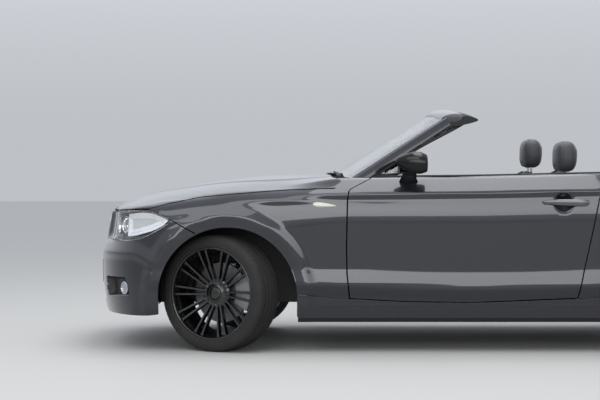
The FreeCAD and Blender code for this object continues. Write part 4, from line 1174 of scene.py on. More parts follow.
def rimForm():
    r, y = wheel["rimR"], wheel["lipY"]
    return revolve([(r, y - 1), (r - 3, y), (r - 8, y - 2), (r - 12, y - 10), (r - 15, y - 22), (r - 18, y - 40),
                    (r - 24, 20), (r - 24, -60), (r - 20, 16 - y), (r - 6, 2 - y), (r, -y), (r, 6 - y), (r - 10, 22 - y),
                    (r - 12, -40), (r - 14, 20), (r - 10, 70), (r - 2, y - 10)], 120)


def spokeForm(side):
    # One bar of a pair from hub to rim: its face line dishes inwards, its section narrows towards the face
    reach = np.array([(34, 44, 18), (58, 50, 21), (90, 57, 24), (130, 67, 25), (175, 78, 25), (212, 87, 23), (232, 91, 20)])
    rows = resample(reach, 26)
    half, back = wheel["barFace"] / 2, wheel["barBack"] / 2
    section = np.array([(-back, -1), (-half - 1, -0.12), (-half, 0), (half, 0), (half + 1, -0.12), (back, -1)])
    spread = math.tan(math.radians(wheel["splay"]))
    flare = 1 + 0.7 * np.clip((rows[:, 0] - 205) / 27, 0, 1) ** 2
    across = side * (wheel["gap"] + (rows[:, 0] - 55) * spread)[:, None] + section[None, :, 0] * flare[:, None]
    up = rows[:, 1, None] + section[None, :, 1] * rows[:, 2, None]
    return loft(np.stack([rows[:, 0, None] + 0 * across, up, across], -1))


def wheelForm():
    forms = [rimForm()]
    pair = [spokeForm(-1), spokeForm(1)]
    for k in range(wheel["pairs"]):
        forms += [(turnY(p, 360 / wheel["pairs"] * k + wheel["phase"]), f) for p, f in pair]
    forms.append(revolve([(82, 8), (84, 30), (80, 44), (70, 50), (58, 50), (44, 53), (39, 57), (36, 57), (34, 50), (34, 8)], 72))
    return merge(*forms)


def hubDetails():
    # Centre cap and five wheel bolts in their seats
    forms = [revolve([(0.01, 61), (12, 60.6), (24, 59.2), (31, 57), (33.5, 54), (33.5, 40), (0.01, 40)], 48)]
    for k in range(5):
        a = math.radians(72 * k + wheel["boltPhase"])
        seat = revolve([(8, 50), (13, 52), (15, 50), (15, 40), (8, 40)], 24)
        hexa = revolve([(0.01, 51), (7.5, 51), (8.5, 49), (8.5, 36), (0.01, 36)], 6)
        for p, f in (seat, hexa):
            forms.append((p + (wheel["boltCircle"] * math.cos(a), 0, wheel["boltCircle"] * math.sin(a)), f))
    return merge(*forms)


def discForm():
    forms = [revolve([(34, -28), (150, -28), (160, -27), (160, -20), (90, -19), (90, -15), (160, -14), (160, -7), (150, -6),
                      (80, -6), (78, 8), (34, 8)], 96)]
    return merge(*forms)


def tyreForm():
    # Sidewall, shoulder and tread as one turned outline, with rounds of slanting sipes cut into the shoulders
    h, r = wheel["tyreHalf"], wheel["tyreR"]
    side = [(246.5, 99), (249, 104), (255, 106.5), (259, h), (262, 106), (270, h), (283, 106), (294, 101.5), (302, 96), (307, 90)]
    tread = [(309.5, 84), (r, 74)]
    for y in (60, 21):
        tread += [(r, y + 6), (r - 1, y + 5), (r - 7, y + 4), (r - 7, y - 4), (r - 1, y - 5), (r, y - 6)]
    half = np.array(side + tread, dtype=float)
    half = np.concatenate([half, [(r, 7)]])
    outline = np.concatenate([half, half[::-1] * (1, -1), [(246.5, -60), (246.5, 60)]])
    count = wheel["blocks"] * 6
    a = np.linspace(0, 2 * np.pi, count, endpoint=False)[:, None]
    y, rad = outline[None, :, 1], outline[None, :, 0]
    slant = np.abs(y) * 0.004
    phase = np.mod(a * wheel["blocks"] / (2 * np.pi) + slant * wheel["blocks"] / 6, 1.0)
    shoulder = (rad > 303) & (np.abs(y) > 66) & (np.abs(y) < 97)
    middle = (rad > r - 0.5) & (np.abs(y) < 54) & (np.abs(y) > 27)
    cut = np.where(shoulder, 4.0, 0) * (phase < 0.2) + np.where(middle, 2.5, 0) * (phase > 0.82)
    out = rad - cut
    return loft(np.stack([out * np.cos(a), y + 0 * a, out * np.sin(a)], -1), closedAlong=True)


def atWheel(points, faces, side, front):
    # A wheel part moved from its own axis to its place, steered with the front wheels
    y = car["frontWheelY"] if front else car["rearWheelY"]
    if side < 0:
        points, faces = flipped(points, faces)
    if front:
        points = turnZ(points, car["steerDeg"], (0, side * (car["kingpinY"] - y), 0))
    x = car["frontAxleX"] if front else car["rearAxleX"]
    return points + (x, side * y, car["wheelZ"]), faces


def wheels():
    forms = (("rim", wheelForm(), blackLacquer(), "wheel_black", "wheel"), ("hub_cap", hubDetails(), blackLacquer(), "wheel_black", None),
             ("brake_disc", discForm(), brakeSteel(), "steel", None), ("tread", tyreForm(), tyreRubber(), "tyre", "tyre"))
    for end in ("front", "rear"):
        for side, label in ((1, "left"), (-1, "right")):
            for name, form, material, slotName, node in forms:
                p, f = atWheel(*form, side, end == "front")
                nodes = ["%s_%s_%s" % (end, node, label)] if node else []
                pieceFrom("%s_%s_%s" % (name, end, label), p, f, material, "wheel_%s_%s" % (end, label), slotName, nodes, 30)


def skinGrid(outline, project, cell, depth=None):
    # Outline filled with an even grid and laid on the skin; depth(distance to the edge) sinks it inwards
    uv, faces = trimmedGrid(outline, cell)
    points = project(uv)
    faces = outwards(points, faces)
    if depth:
        away = -signedDistance(uv, outline)[0]
        points = points - skinNormal(points) * depth(away)[:, None]
    return points, faces


def bothSides(name, form, material, bodies, slotName, nodes=None, smooth=35.0):
    # One piece on the left and its mirror image on the right
    for side, body, k in (("left", bodies[0], 0), ("right", bodies[1], 1)):
        p, f = form if side == "left" else flipped(*form)
        pieceFrom(name + "_" + side, p, f, material, body, slotName, [nodes + "_" + side] if nodes else (), smooth)


fixed = ("root", "root")
lamp = {"bowl": 58.0, "wall": 16.0, "coverThick": 3.0, "cell": 6.0}


def headlamps():
    # Clear cover, grey tray behind it, two round lamps with chromed rims and a bright reflector at the rear
    cover = skinGrid(lampEdge(-0.5), onDome, lamp["cell"])
    bothSides("lamp_cover", sheetSolid(*cover, lamp["coverThick"]), clearPlastic(), fixed, "headlamp", "headlight")
    tray = skinGrid(lampEdge(1.5), onDome, lamp["cell"], lambda d: 4.5 + lamp["bowl"] * easeIn(d / lamp["wall"]))
    bothSides("lamp_tray", sheetSolid(*tray, 2.0), lampTray(), fixed, "headlamp")
    rearHalf = softClosed(toDome(onSide(resample([(1996, 735), (1860, 748), (1748, 714), (1778, 674), (1850, 643),
                                                   (1950, 618), (2000, 612), (1996, 735)], 200)[:-1])), 14)
    facet = skinGrid(rearHalf, onDome, lamp["cell"], lambda d: 24 + 14 * easeIn(d / 30))
    bothSides("lamp_reflector", sheetSolid(*facet, 2.0), lampMirror(), fixed, "headlamp")
    for k, (y, z, x, r) in enumerate(((436, 664, 2035, 45), (575, 668, 1985, 47))):
        ring = revolve([(r - 5, 26), (r - 2, 30), (r + 1, 28), (r + 2, 20), (r, -12), (r - 8, -14)], 48)
        ball = revolve([(0.01, 20), (r * 0.35, 18), (r * 0.6, 11), (r * 0.74, 0), (r * 0.7, -14), (0.01, -14)], 48)
        bowl = revolve([(r - 5, 25), (r - 9, 8), (r * 0.7, -8), (r * 0.66, -12), (r - 8, -14), (r - 4, 0)], 48)
        toe = 18 + 16 * k

        def aimed(form):
            p, f = form
            return turnZ(p, toe - 90) + (x - 14, y, z), f

        bothSides("lamp_rim_%d" % k, aimed(ring), chrome(), fixed, "headlamp")
        bothSides("lamp_bowl_%d" % k, aimed(bowl), lampMirror(), fixed, "headlamp")
        bothSides("lamp_lens_%d" % k, aimed(ball), bulbGlass(), fixed, "headlamp")


def lampTray():
    # Moulded grey tray inside the lamp
    def make():
        m, tree, surface, place = newMaterial("lamp_tray_plastic", "#6e7276", Metallic=0.3, Roughness=0.35)
        grain = addNode(tree, "TexWave", {"bands_direction": "X"}, Vector=place, Scale=22.0)
        bumpInto(tree, surface, grain.outputs[0], 0.001, 0.3)
        return m
    return once("tray", make)


def bulbGlass():
    # Projector lens: thick clear glass, seen pale grey-blue
    def make():
        m, tree, surface, place = newMaterial("projector_lens_glass", "#8d979f", Roughness=0.03, Coat_Weight=1.0, Metallic=0.2)
        return m
    return once("bulb", make)


def kidneys():
    # Two chromed frames on the nose with eight black slats each in front of a black backing
    frames, slats = [], []
    for side in (1, -1):
        line = softClosed(np.array([(y * side, z) for y, z in shut["kidney"]], dtype=float), 16)
        inner = grown(line, -6)
        path = onFront(inner)
        strip = [(-9, -14), (9, -14), (9, 1), (7, 4), (2, 5.5), (-3, 5), (-7, 2), (-9, -2)]
        frames.append(bead(path, skinNormal(path), strip, closed=True))
        for i in range(8):
            y = side * (34 + i * (150.0 / 7))
            run = onFront(np.stack([np.full(14, y), np.linspace(600, 706, 14)], 1)) - (9.0, 0, 0)
            slats.append(bead(run, np.tile([1.0, 0, 0], (14, 1)), [(-2.6, -16), (2.6, -16), (3.0, 2), (0, 5), (-3.0, 2)]))
    backing = roundedBox(2064, 2074, -202, 202, 594, 712, 5)
    pieceFrom("kidney_frames", *merge(*frames), chrome(), "root", "chrome_trim", ["kidney_grille"])
    pieceFrom("kidney_slats", *merge(*slats), glossBlack(), "root", "black_plastic")
    pieceFrom("kidney_backing", *backing, blackPlastic(), "root", "black_plastic")


def fogLamps():
    # Dark recess with a round lamp near its outer end
    outline = frontHole(shut["fog"], 1.5, 24)
    tray = skinGrid(outline, onDome, 6.0, lambda d: 4 + 40 * easeIn(d / 16))
    bothSides("fog_recess", sheetSolid(*tray, 2.0), blackPlastic(), fixed, "black_plastic")
    y, z, r, toe = 694, 334, 33, 38
    x = onFront(np.array([[float(y), z]]))[0, 0]
    ring = revolve([(r - 3, 2), (r + 1, 1), (r + 3, -3), (r + 3, -34), (r - 5, -34), (r - 5, -2)], 48)
    face = revolve([(0.01, 0), (r * 0.6, -1), (r - 4, -4), (r - 4, -12), (0.01, -12)], 48)
    for name, form, material in (("fog_ring", ring, chrome()), ("fog_lens", face, bulbGlass())):
        p, f = form
        bothSides(name, (turnZ(p, toe - 90) + (x - 14, y, z), f), material, fixed, "headlamp")
    # Lip along the bottom of the recess: a body-coloured edge, drawn in the pale satin material as a painted highlight
    # where it catches the light
    low = onFront(np.stack([np.linspace(500, 742, 30), np.interp(np.linspace(500, 742, 30), [500, 600, 742], [278, 283, 296])], 1))
    lip = bead(low, skinNormal(low), [(-4, -16), (3, -16), (4, -1), (2, 2.5), (-3, 2.5), (-5, 0)])
    bothSides("fog_lip", lip, satinTrimAndHighlightPaint(), fixed, "body_paint")


def frontIntake():
    # Black lattice across the lower opening
    bars = []
    for z in (262, 282, 302, 322):
        y = np.linspace(-430, 430, 41)
        run = onFront(np.stack([y, np.full(41, float(z))], 1)) - (26, 0, 0)
        bars.append(bead(run, np.tile([1.0, 0, 0], (41, 1)), [(-3, -12), (3, -12), (3.5, 2), (0, 4), (-3.5, 2)]))
    for y in np.linspace(-400, 400, 21):
        run = onFront(np.stack([np.full(8, y), np.linspace(240, 340, 8)], 1)) - (30, 0, 0)
        bars.append(bead(run, np.tile([1.0, 0, 0], (8, 1)), [(-2, -8), (2, -8), (2, 2), (-2, 2)]))
    pieceFrom("intake_lattice", *merge(*bars), blackPlastic(), "root", "black_plastic")


def blankPlate(name, sign, z0, z1, inset, body="root"):
    # A blank plate following the bumper's curve, in a thin black holder
    for label, grow, out, material in (("holder", 6, 0.4, blackPlastic()), ("face", 0, 1.6, whitePlate())):
        y = np.linspace(-260 - grow, 260 + grow, 45)
        z = np.linspace(z0 - grow, z1 + grow, 10)
        flat = np.stack(np.meshgrid(y, z, indexing="ij"), -1)
        base = onFront(flat, sign)
        base[..., 0] = sign * (np.abs(base[..., 0]) + inset + out)
        base[..., 0] = np.clip(base[..., 0], -2179.6, 2179.6)
        faces = outwards(base.reshape(-1, 3), gridFaces(45, 10))
        pieceFrom(name + "_" + label, *sheetSolid(base.reshape(-1, 3), faces, 3.0, 1.0), material, body, "black_plastic")


def superRing(cy, cz, hy, hz, x, power=2.3, count=40):
    a = np.linspace(0, 2 * np.pi, count, endpoint=False)
    c, s = np.cos(a), np.sin(a)
    y = cy + hy * np.sign(c) * np.abs(c) ** (2 / power)
    z = cz + hz * np.sign(s) * np.abs(s) ** (2 / power)
    return np.stack([np.full(count, float(x)), y, z], 1)


def mirrors():
    # Gloss black shell on a black stalk, the glass set into the rear face
    rows = np.array([(387, 915, 1001, 46, 31), (383, 915, 1001, 52, 38), (385, 915, 1002, 56, 44), (398, 915, 1003, 61, 51),
                     (425, 915, 1005, 63, 58.5), (452, 914, 1006.5, 60, 57.5), (478, 913, 1007.5, 53, 50), (504, 911, 1009, 43, 40),
                     (524, 909, 1011, 32, 29), (540, 907, 1012.5, 20, 18), (548, 906, 1013, 10, 8), (551, 906, 1013, 1, 1)], dtype=float)
    fine = smoothRows(np.arange(len(rows), dtype=float), rows, np.linspace(0, len(rows) - 1, 45))
    shell = loft([superRing(cy, cz, hy, hz, x) for x, cy, cz, hy, hz in fine])
    for side in ("left", "right"):
        p, f = shell if side == "left" else flipped(*shell)
        pieceFrom("mirror_shell_" + side, p, f, glossBlack(), "door_" + side, "mirror_housing", ["door_mirror_" + side])
    glassRows = [(382.5, 0.5), (382, 38), (383, 41), (387.5, 41)]
    pane = loft([superRing(915, 1001, r, r * 0.84, x) for x, r in glassRows])
    bothSides("mirror_pane", pane, chrome(), ("door_left", "door_right"), "chrome_trim")
    stalk = np.array([(470, 792, 890, 66, 15), (474, 812, 902, 54, 15), (476, 840, 922, 43, 14), (474, 868, 940, 38, 13),
                      (472, 890, 953, 38, 12), (470, 905, 963, 38, 10)], dtype=float)
    fine = smoothRows(np.arange(len(stalk), dtype=float), stalk, np.linspace(0, len(stalk) - 1, 16))
    a = np.linspace(0, 2 * np.pi, 28, endpoint=False)
    rings = []
    for x, y, z, hx, hn in fine:
        rings.append(np.stack([x + hx * np.cos(a), y - 0.55 * hn * np.sin(a), z + 0.83 * hn * np.sin(a)], 1))
    bothSides("mirror_stalk", loft(rings), glossBlack(), ("door_left", "door_right"), "mirror_housing")


def handleCup(points):
    # The door skin pressed in behind the handle
    r = np.hypot(points[:, 0] + 345, points[:, 2] - 795)
    deep = np.where(points[:, 1] > 0, 24.0 * np.clip(1 - (r / 58) ** 2, 0, 1) ** 1.4, 0)
    out = points.copy()
    out[:, 1] -= deep
    return out


def doorHandles():
    # Grip: a bar with an upper bevel that catches the light, pointed at the front and round at the lock
    x = np.array([-476, -474, -466, -455, -440, -420, -380, -330, -280, -250, -236, -229, -227], dtype=float)
    high = np.array([5, 11, 15, 16.5, 17, 17, 16.5, 15.5, 13, 10, 7, 4, 1])
    rings = []
    line = onSide(np.stack([x, np.full(len(x), 796.0)], 1))
    reach = np.interp(x, [-476, -440, -260, -227], [12, 18, 18, 6])
    for k in range(len(x)):
        z, h, y = 797 + 3 * (x[k] + 345) / 130, high[k], line[k, 1] + reach[k]
        section = np.array([(-2, h), (2.5, h * 0.8), (4.5, h * 0.15), (3.5, -h * 0.5), (0, -h), (-8, -h * 0.9), (-9, 0), (-8, h * 0.9)])
        rings.append(np.stack([np.full(8, x[k]), y + section[:, 0], z + section[:, 1]], 1))
    rings = np.array(rings)
    fine = np.stack([resample(rings[:, k], 40) for k in range(8)], 1)
    feet = []
    for x0 in (-462, -262):
        feet.append(roundedBox(x0, x0 + 26, line[:, 1].mean() - 14, line[:, 1].mean() + 12, 786, 806, 5))
    # The grip is body colour; the pale satin material on it is a painted highlight
    bothSides("handle_grip", merge(loft(fine), *feet), satinTrimAndHighlightPaint(), ("door_left", "door_right"), "body_paint", "door_handle", 28)
    # The lock cap is body colour too, drawn in the same pale material as a painted highlight
    lock = revolve([(0.01, 6.5), (4, 6.2), (7.5, 5), (8.5, 2), (8.5, -8), (0.01, -8)], 32)
    p, f = lock
    bothSides("handle_lock", (p + (-462, line[1, 1] + 16.5, 797), f), satinTrimAndHighlightPaint(), ("door_left", "door_right"), "body_paint")


def satinTrimAndHighlightPaint():
    # Pale satin paint. It is real satin trim on the wheel spokes and door pulls. On the body-coloured door handles,
    # locks and fog lamp lips, its paler tone is a painted highlight
    def make():
        m, tree, surface, place = newMaterial("satin_trim_and_highlight_paint", "#56585b", Metallic=0.7, Roughness=0.3, Coat_Weight=0.6)
        flake = addNode(tree, "TexNoise", None, Vector=place, Scale=500.0)
        bumpInto(tree, surface, flake.outputs[0], 0.0002, 0.2)
        return m
    return once("grip", make)


def sideIndicators():
    # Clear tear-shaped lens on the wing, its point to the rear
    x = np.array([983, 981, 975, 965, 950, 930, 905, 880, 865, 860], dtype=float)
    half = np.array([1, 6, 10, 12.5, 13.3, 12.5, 9.8, 6, 2.8, 0.8])
    a = np.linspace(0, 2 * np.pi, 20, endpoint=False)
    rings = []
    for k in range(len(x)):
        z = 785.5 + (x[k] - 983) * 0.055
        row = onSide(np.stack([np.full(20, x[k]), z + half[k] * np.sin(a)], 1))
        row[:, 1] += np.clip(np.cos(a), -0.6, 1) * 5.0 * min(1, half[k] / 8)
        rings.append(row)
    bothSides("side_indicator", loft(rings), indicatorLens(), fixed, "headlamp")


def indicatorLens():
    def make():
        m, tree, surface, place = newMaterial("clear_indicator_lens", "#b9b8ab", Metallic=0.2, Roughness=0.2, Coat_Weight=1.0)
        flutes = addNode(tree, "TexWave", {"bands_direction": "X"}, Vector=place, Scale=55.0)
        bumpInto(tree, surface, flutes.outputs[0], 0.0012, 0.5)
        return m
    return once("indicator", make)


screen = {"base": (771, 760, 925, 889, 934), "top": (252, 600, 1258, 287, 1302), "normal": (0.5216, 0.0, 0.8532),
          "band": 42.0}


def onScreen(u, share, out):
    # u runs from -1 at the right edge to 1 at the left, share from base to top, out along the screen's normal
    u, share, out = np.broadcast_arrays(np.asarray(u, dtype=float), share, out)
    sx, sy, sz, mx, mz = [a + share * (b - a) for a, b in zip(screen["base"], screen["top"])]
    k = u * u
    n = screen["normal"]
    return np.stack([mx - (mx - sx) * k + n[0] * out, u * sy, mz - (mz - sz) * k + n[2] * out], -1)


def halfAt(share):
    return screen["base"][1] + share * (screen["top"][1] - screen["base"][1])


def windscreen():
    share = np.linspace(0.012, 0.962, 40)
    u = np.linspace(-1, 1, 61)
    edge = 1 - (screen["band"] - 3) / halfAt(share)
    grid = onScreen(u[:, None] * edge[None], share[None], -3.0)
    pane = outwards(grid.reshape(-1, 3), gridFaces(61, 40))
    pieceFrom("screen_pane", *sheetSolid(grid.reshape(-1, 3), pane, 5.0, 0.8), clearGlass(), "root", "glass", ["windscreen_glass"])
    band = []
    for v0, v1, u0, u1 in ((0.012, 0.03, -1, 1), (0.935, 0.962, -1, 1)):
        v = np.linspace(v0, v1, 6)
        g = onScreen(np.linspace(u0, u1, 61)[:, None] * (1 - (screen["band"] - 3) / halfAt(v))[None], v[None], -8.4)
        band.append(sheetSolid(g.reshape(-1, 3), outwards(g.reshape(-1, 3), gridFaces(61, 6)), 1.0, 0.3))
    for side in (1, -1):
        v = np.linspace(0.012, 0.962, 40)
        e = 1 - (screen["band"] - 3) / halfAt(v)
        t = np.linspace(0, 1, 5)[:, None] * 24
        g = onScreen(side * (e[None] - t / halfAt(v)[None]), v[None], -8.4)
        band.append(sheetSolid(g.reshape(-1, 3), outwards(g.reshape(-1, 3), gridFaces(5, 40)), 1.0, 0.3))
    pieceFrom("screen_black_border", *merge(*band), blackPlastic(), "root", "black_plastic")


def pillarRings(side, v0, v1, section, count=46):
    # A section (towards the middle from the edge, out) carried up one side of the screen
    rings = []
    for v in np.linspace(v0, v1, count):
        h = halfAt(v)
        s = np.asarray(section, dtype=float)
        rings.append(onScreen(side * (1 - s[:, 0] / h), v, s[:, 1]))
    return rings


headerPaint = [(40, -12), (30, 2), (12, 11), (-12, 17), (-40, 20), (-70, 16), (-86, 9), (-90, -2), (-88, -20), (-40, -28),
               (30, -28), (39, -22)]
headerBlack = [(-80, 8), (-110, 5), (-148, -4), (-166, -13), (-160, -21), (-120, -33), (-60, -47), (-10, -48), (24, -44),
               (37, -32), (30, -25), (-40, -25), (-78, -10)]


def headerRings(profile, reach=600.0, count=61):
    # Section of the roof header carried along the screen's top edge
    rings = []
    for y in np.linspace(-reach, reach, count):
        k = 1 - (y / 600.0) ** 2
        x0 = screen["top"][0] + (screen["top"][3] - screen["top"][0]) * k - 8
        z0 = screen["top"][2] + (screen["top"][4] - screen["top"][2]) * k - 2
        p = np.asarray(profile, dtype=float)
        rings.append(np.stack([x0 + p[:, 0], np.full(len(p), y), z0 + p[:, 1]], 1))
    return rings


def screenFrame():
    # Painted pillars and header, black seals along their rear edges, black end pieces on the header
    pillars, seals = [], []
    outer = [(-0.5, -2), (4, 1.5), (14, 3), (30, 1.5), (41, -2), (42, -9), (38, -26), (30, -46), (8, -50), (-4, -46), (-5, -30), (-3, -12)]
    for side in (1, -1):
        pillars.append(loft(pillarRings(side, -0.10, 0.99, outer)))
        for low, wide in ((-38, 12), (-58, 9)):
            line = [(4, low + wide), (14, low + wide), (16, low), (13, low - wide * 0.7), (3, low - wide * 0.7), (-1.5, low)]
            rings = pillarRings(side, -0.06, 1.16, line)
            fall = 24.0 * easeIn(np.linspace(-1.0, 1.0, len(rings)))
            seals.append(loft([ring - np.array(screen["normal"]) * k for ring, k in zip(rings, fall)]))
    header = loft(headerRings(softClosed(np.array(headerPaint, dtype=float), 8)[::2]))
    pieceFrom("screen_frame_paint", *merge(header, *pillars), bodyPaint(), "root", "body_paint", ["windscreen_frame"], 40)
    seals.append(loft(headerRings(softClosed(np.array(headerBlack, dtype=float), 8)[::2], 601)))
    pieceFrom("screen_seals", *merge(*seals), sealRubber(), "root", "black_plastic")


def quarterLights():
    # Small fixed triangular pane at the front of each door window, in a black frame
    corners = np.array([(648, 938), (520, 950), (520, 1013)], dtype=float)
    y0, lean = 716.0, 0.62

    def placed(xz):
        return np.stack([xz[:, 0], y0 - (xz[:, 1] - 938) * lean, xz[:, 1]], 1)

    edge = softClosed(corners, 10)
    uv, faces = trimmedGrid(grown(edge, -3), 6.0)
    points = placed(uv)
    doors = ("door_left", "door_right")
    bothSides("quarter_light", sheetSolid(points, facing(points, faces, (0, 1, 0)), 4.0, 0.8), clearGlass(), doors, "glass")
    path = placed(edge)
    n = np.tile(np.array([0, 1.0, lean]) / math.hypot(1, lean), (len(path), 1))
    frameBead = bead(path, n, [(-5, -7), (5, -7), (6, 0), (4, 4), (-4, 4), (-6, 0)], closed=True)
    bothSides("quarter_light_frame", frameBead, sealRubber(), doors, "black_plastic")


def wiperBlades():
    arms, rubbers = [], []
    for y0, y1, share in ((560.0, -40.0, 0.03), (20.0, -560.0, 0.012)):
        t = np.linspace(0, 1, 30)
        y = y0 - 40 + (y1 - y0 + 40) * t
        path = onScreen(y / halfAt(share), share, 8.0)
        n = np.tile(screen["normal"], (30, 1))
        rubbers.append(bead(path, n, [(-2.5, -10), (2.5, -10), (3.5, -2), (5, 1), (3, 4), (-3, 4), (-5, 1), (-3.5, -2)]))
        mid = onScreen((y0 + y1) / 2 / halfAt(share), share + 0.012, 17.0)
        start = onScreen((y0 + 0) / halfAt(0), -0.012, 12.0)
        run = resample(np.array([start, start * 0.7 + mid * 0.3 + (0, 0, 6), mid]), 20)
        wide = np.linspace(9, 4.5, 20)
        profile = np.array([(-1, -0.35), (1, -0.35), (1, 0.3), (0.5, 0.6), (-0.5, 0.6), (-1, 0.3)])[None] * wide[:, None, None]
        arms.append(bead(run, n[:20], profile))
        foot = revolve([(0.01, 10), (9, 9), (14, 5), (15, -14), (0.01, -14)], 28)
        p, f = foot
        arms.append((np.stack([p[:, 0], p[:, 2], p[:, 1]], 1) * (1, -1, 1) + start, f))
    pieceFrom("wiper_rubbers", *merge(*rubbers), sealRubber(), "root", "black_plastic", ["wipers"])
    pieceFrom("wiper_arms", *merge(*arms), blackPlastic(), "root", "black_plastic")


def beltTrim():
    # Black weather strips along the door and quarter tops, and a rub strip under the sill
    for name, x0, x1, bodies in (("door", 655, -575, ("door_left", "door_right")), ("quarter", -585, -1150, fixed)):
        x = np.linspace(x0, x1, 60)
        run = onTop(np.stack([x, np.full(60, 724.0)], 1))
        form = bead(run, skinNormal(run), [(-9, -4), (9, -4), (9, 3), (4, 7), (-4, 7), (-9, 3)])
        bothSides(name + "_belt_seal", form, sealRubber(), bodies, "black_plastic")
    x = np.linspace(-850, 1062, 80)
    low = onSide(np.stack([x, np.full(80, 190.0)], 1))
    section = np.array([(4, 2), (3, -2), (-12, -28), (-30, -33), (-44, -28), (-40, 4)])
    rings = [np.stack([np.full(6, p[0]), p[1] + section[:, 0], p[2] + section[:, 1]], 1) for p in low]
    bothSides("sill_strip", loft(rings), blackPlastic(), fixed, "black_plastic")
    bothSides("sill_core", roundedBox(-848, 1056, 706, 838, 184, 258, 6), carpet(), fixed, "interior_plastic")


def archLips():
    # Rolled edge round each wheel arch, following the panel
    for name, centre, x0, z0, x1, z1 in (("front", car["frontAxleX"], 1069, 309, 1805, 200), ("rear", car["rearAxleX"], -1591, 200, -855, 312)):
        line = arcLine(centre, car["archRadius"] + 4, *((x0, z0, x1, z1) if name == "front" else (x1, z1, x0, z0)), 90)
        path = onSide(spaced(line, 10.0))
        middle = np.array([centre, 0, car["archZ"]])
        normal = np.tile([0.0, 1.0, 0.0], (len(path), 1))
        lip = bead(path, normal, [(-4, -33), (4, -33), (4, -1.5), (2, 0.6), (-2, 0.6), (-4.5, -1.5)])
        bothSides(name + "_arch_lip", lip, bodyPaint(), fixed, "body_paint")


def tailLamps():
    # Red wrap-round cover with its tray behind, and a red lens on the boot lid
    edge = tailEdge()
    cover = skinGrid(grown(edge, -1.0), onDome, 6.0)
    bothSides("tail_lens", sheetSolid(*cover, 3.0), redLens(), fixed, "tail_lamp", "tail_lamp")
    tray = skinGrid(grown(edge, -0.5), onDome, 6.0, lambda d: 5 + 34 * easeIn(d / 14))
    bothSides("tail_tray", sheetSolid(*tray, 2.0), lampMirror(), fixed, "tail_lamp")
    uv, faces = trimmedGrid(softClosed(np.array([(352, 716), (404, 664), (554, 651), (554, 783), (372, 778)], dtype=float), 14), 8.0)
    points = onFront(uv, -1.0)
    lens = sheetSolid(points + skinNormal(points) * 2.2, outwards(points, faces), 4.0)
    bothSides("lid_lens", lens, redLens(), ("boot_lid", "boot_lid"), "tail_lamp")


def facing(points, faces, direction):
    # Faces turned to look along the given direction on the whole
    a = points[faces[:, 2]] - points[faces[:, 0]]
    b = points[faces[:, 3]] - points[faces[:, 1]]
    return faces if np.sum(np.cross(a, b) @ np.asarray(direction, dtype=float)) > 0 else faces[:, ::-1]


def upright(outline, y, relief, cell, depth):
    # A trim panel in the side view facing the cabin, with a relief towards the middle of the car
    uv, faces = trimmedGrid(softClosed(np.asarray(outline, dtype=float), 24), cell)
    points = np.stack([uv[:, 0], y - relief(uv[:, 0], uv[:, 1]), uv[:, 1]], 1)
    return sheetSolid(points, facing(points, faces, (0, -1, 0)), depth, 2.0)


def doorCards():
    # Inner door trim: shoulder, arm rest with its pull, map pocket and a loudspeaker ring
    outline = [(-402, 312), (150, 300), (500, 302), (765, 318), (786, 560), (782, 790), (772, 850), (640, 925), (-402, 935)]

    def relief(x, z):
        shoulder = 6 * easeIn((z - 858) / 24)
        rest = 26 * np.exp(-((z - 655) / 34) ** 4) * easeIn((x + 330) / 60) * easeIn((430 - x) / 110)
        pocket = 16 * np.exp(-((z - 400) / 70) ** 4) * easeIn((x + 300) / 80) * easeIn((600 - x) / 90)
        groove = 3.0 * np.exp(-((z - 770 - 0.03 * x) / 4) ** 2)
        return shoulder + rest + pocket - groove

    card = upright(outline, 716, relief, 11.0, 46.0)
    doors = ("door_left", "door_right")
    bothSides("door_card", card, dashPlastic(), doors, "interior_plastic")
    insert = [(-330, 700), (-330, 762), (560, 790), (640, 780), (600, 700)]
    bothSides("door_insert", upright(insert, 715, lambda x, z: 0 * x + 3, 9.0, 5.0), leather(), doors, "leather")
    pull = roundedBox(-60, 120, 676, 700, 690, 712, 8)
    bothSides("door_pull", pull, satinTrimAndHighlightPaint(), doors, "chrome_trim")
    ring = revolve([(76, 3), (82, 4), (88, 1), (88, -6), (74, -6)], 64)
    p, f = ring
    bothSides("speaker_ring", (p * (1, -1, 1) + (640, 706, 430), f[:, ::-1]), blackPlastic(), doors, "black_plastic")


doorHinge = {"heights": (422, 712), "outerY": 840, "halfPocket": 34}


def doorEdges():
    # Rear, lower and front closing strips of each door, from the skin to the trim, open round the hinges
    low = [p for p in shut["sill"] if -420 < p[0] < 786]
    line = resample(shut["doorRear"][::-1] + low[::-1] + shut["doorFront"][:5], 260)
    line = line + (np.array([180.0, 620.0]) - line) * 0.008
    outer = onSide(line) - (0, 2.5, 0)
    inner = np.stack([np.clip(line[:, 0], -402, 780), np.full(260, 757.0), np.clip(line[:, 1], 306, 930)], 1)
    share = np.linspace(0, 1, 6)[None, :, None]
    grid = outer[:, None] * (1 - share) + inner[:, None] * share
    points, faces = grid.reshape(-1, 3), gridFaces(260, 6)
    middle = points[faces].mean(1)
    height = np.min(np.abs(middle[:, 2:] - doorHinge["heights"]), axis=1)
    pocket = (middle[:, 0] > 700) & (middle[:, 1] < doorHinge["outerY"]) & (height < doorHinge["halfPocket"])
    strip = sheetSolid(points, faces[~pocket], 2.5, 0.8)
    bothSides("door_edge", strip, bodyPaint(), ("door_left", "door_right"), "body_paint")


def quarterTrims():
    a = np.radians(np.linspace(79, 12, 24))
    arch = [(-1223 + 397 * math.cos(t), 296 + 397 * math.sin(t)) for t in a]
    outline = [(-590, 926), (-1146, 926), (-1146, 700), *arch, (-826, 330), (-590, 330)]

    def relief(x, z):
        return 8 * np.exp(-((z - 640) / 40) ** 4) * easeIn((x + 1130) / 60) * easeIn((-640 - x) / 60) - 3 * np.exp(-((z - 780) / 4) ** 2)

    bothSides("quarter_trim", upright(outline, 716, relief, 11.0, 46.0), dashPlastic(), fixed, "interior_plastic")


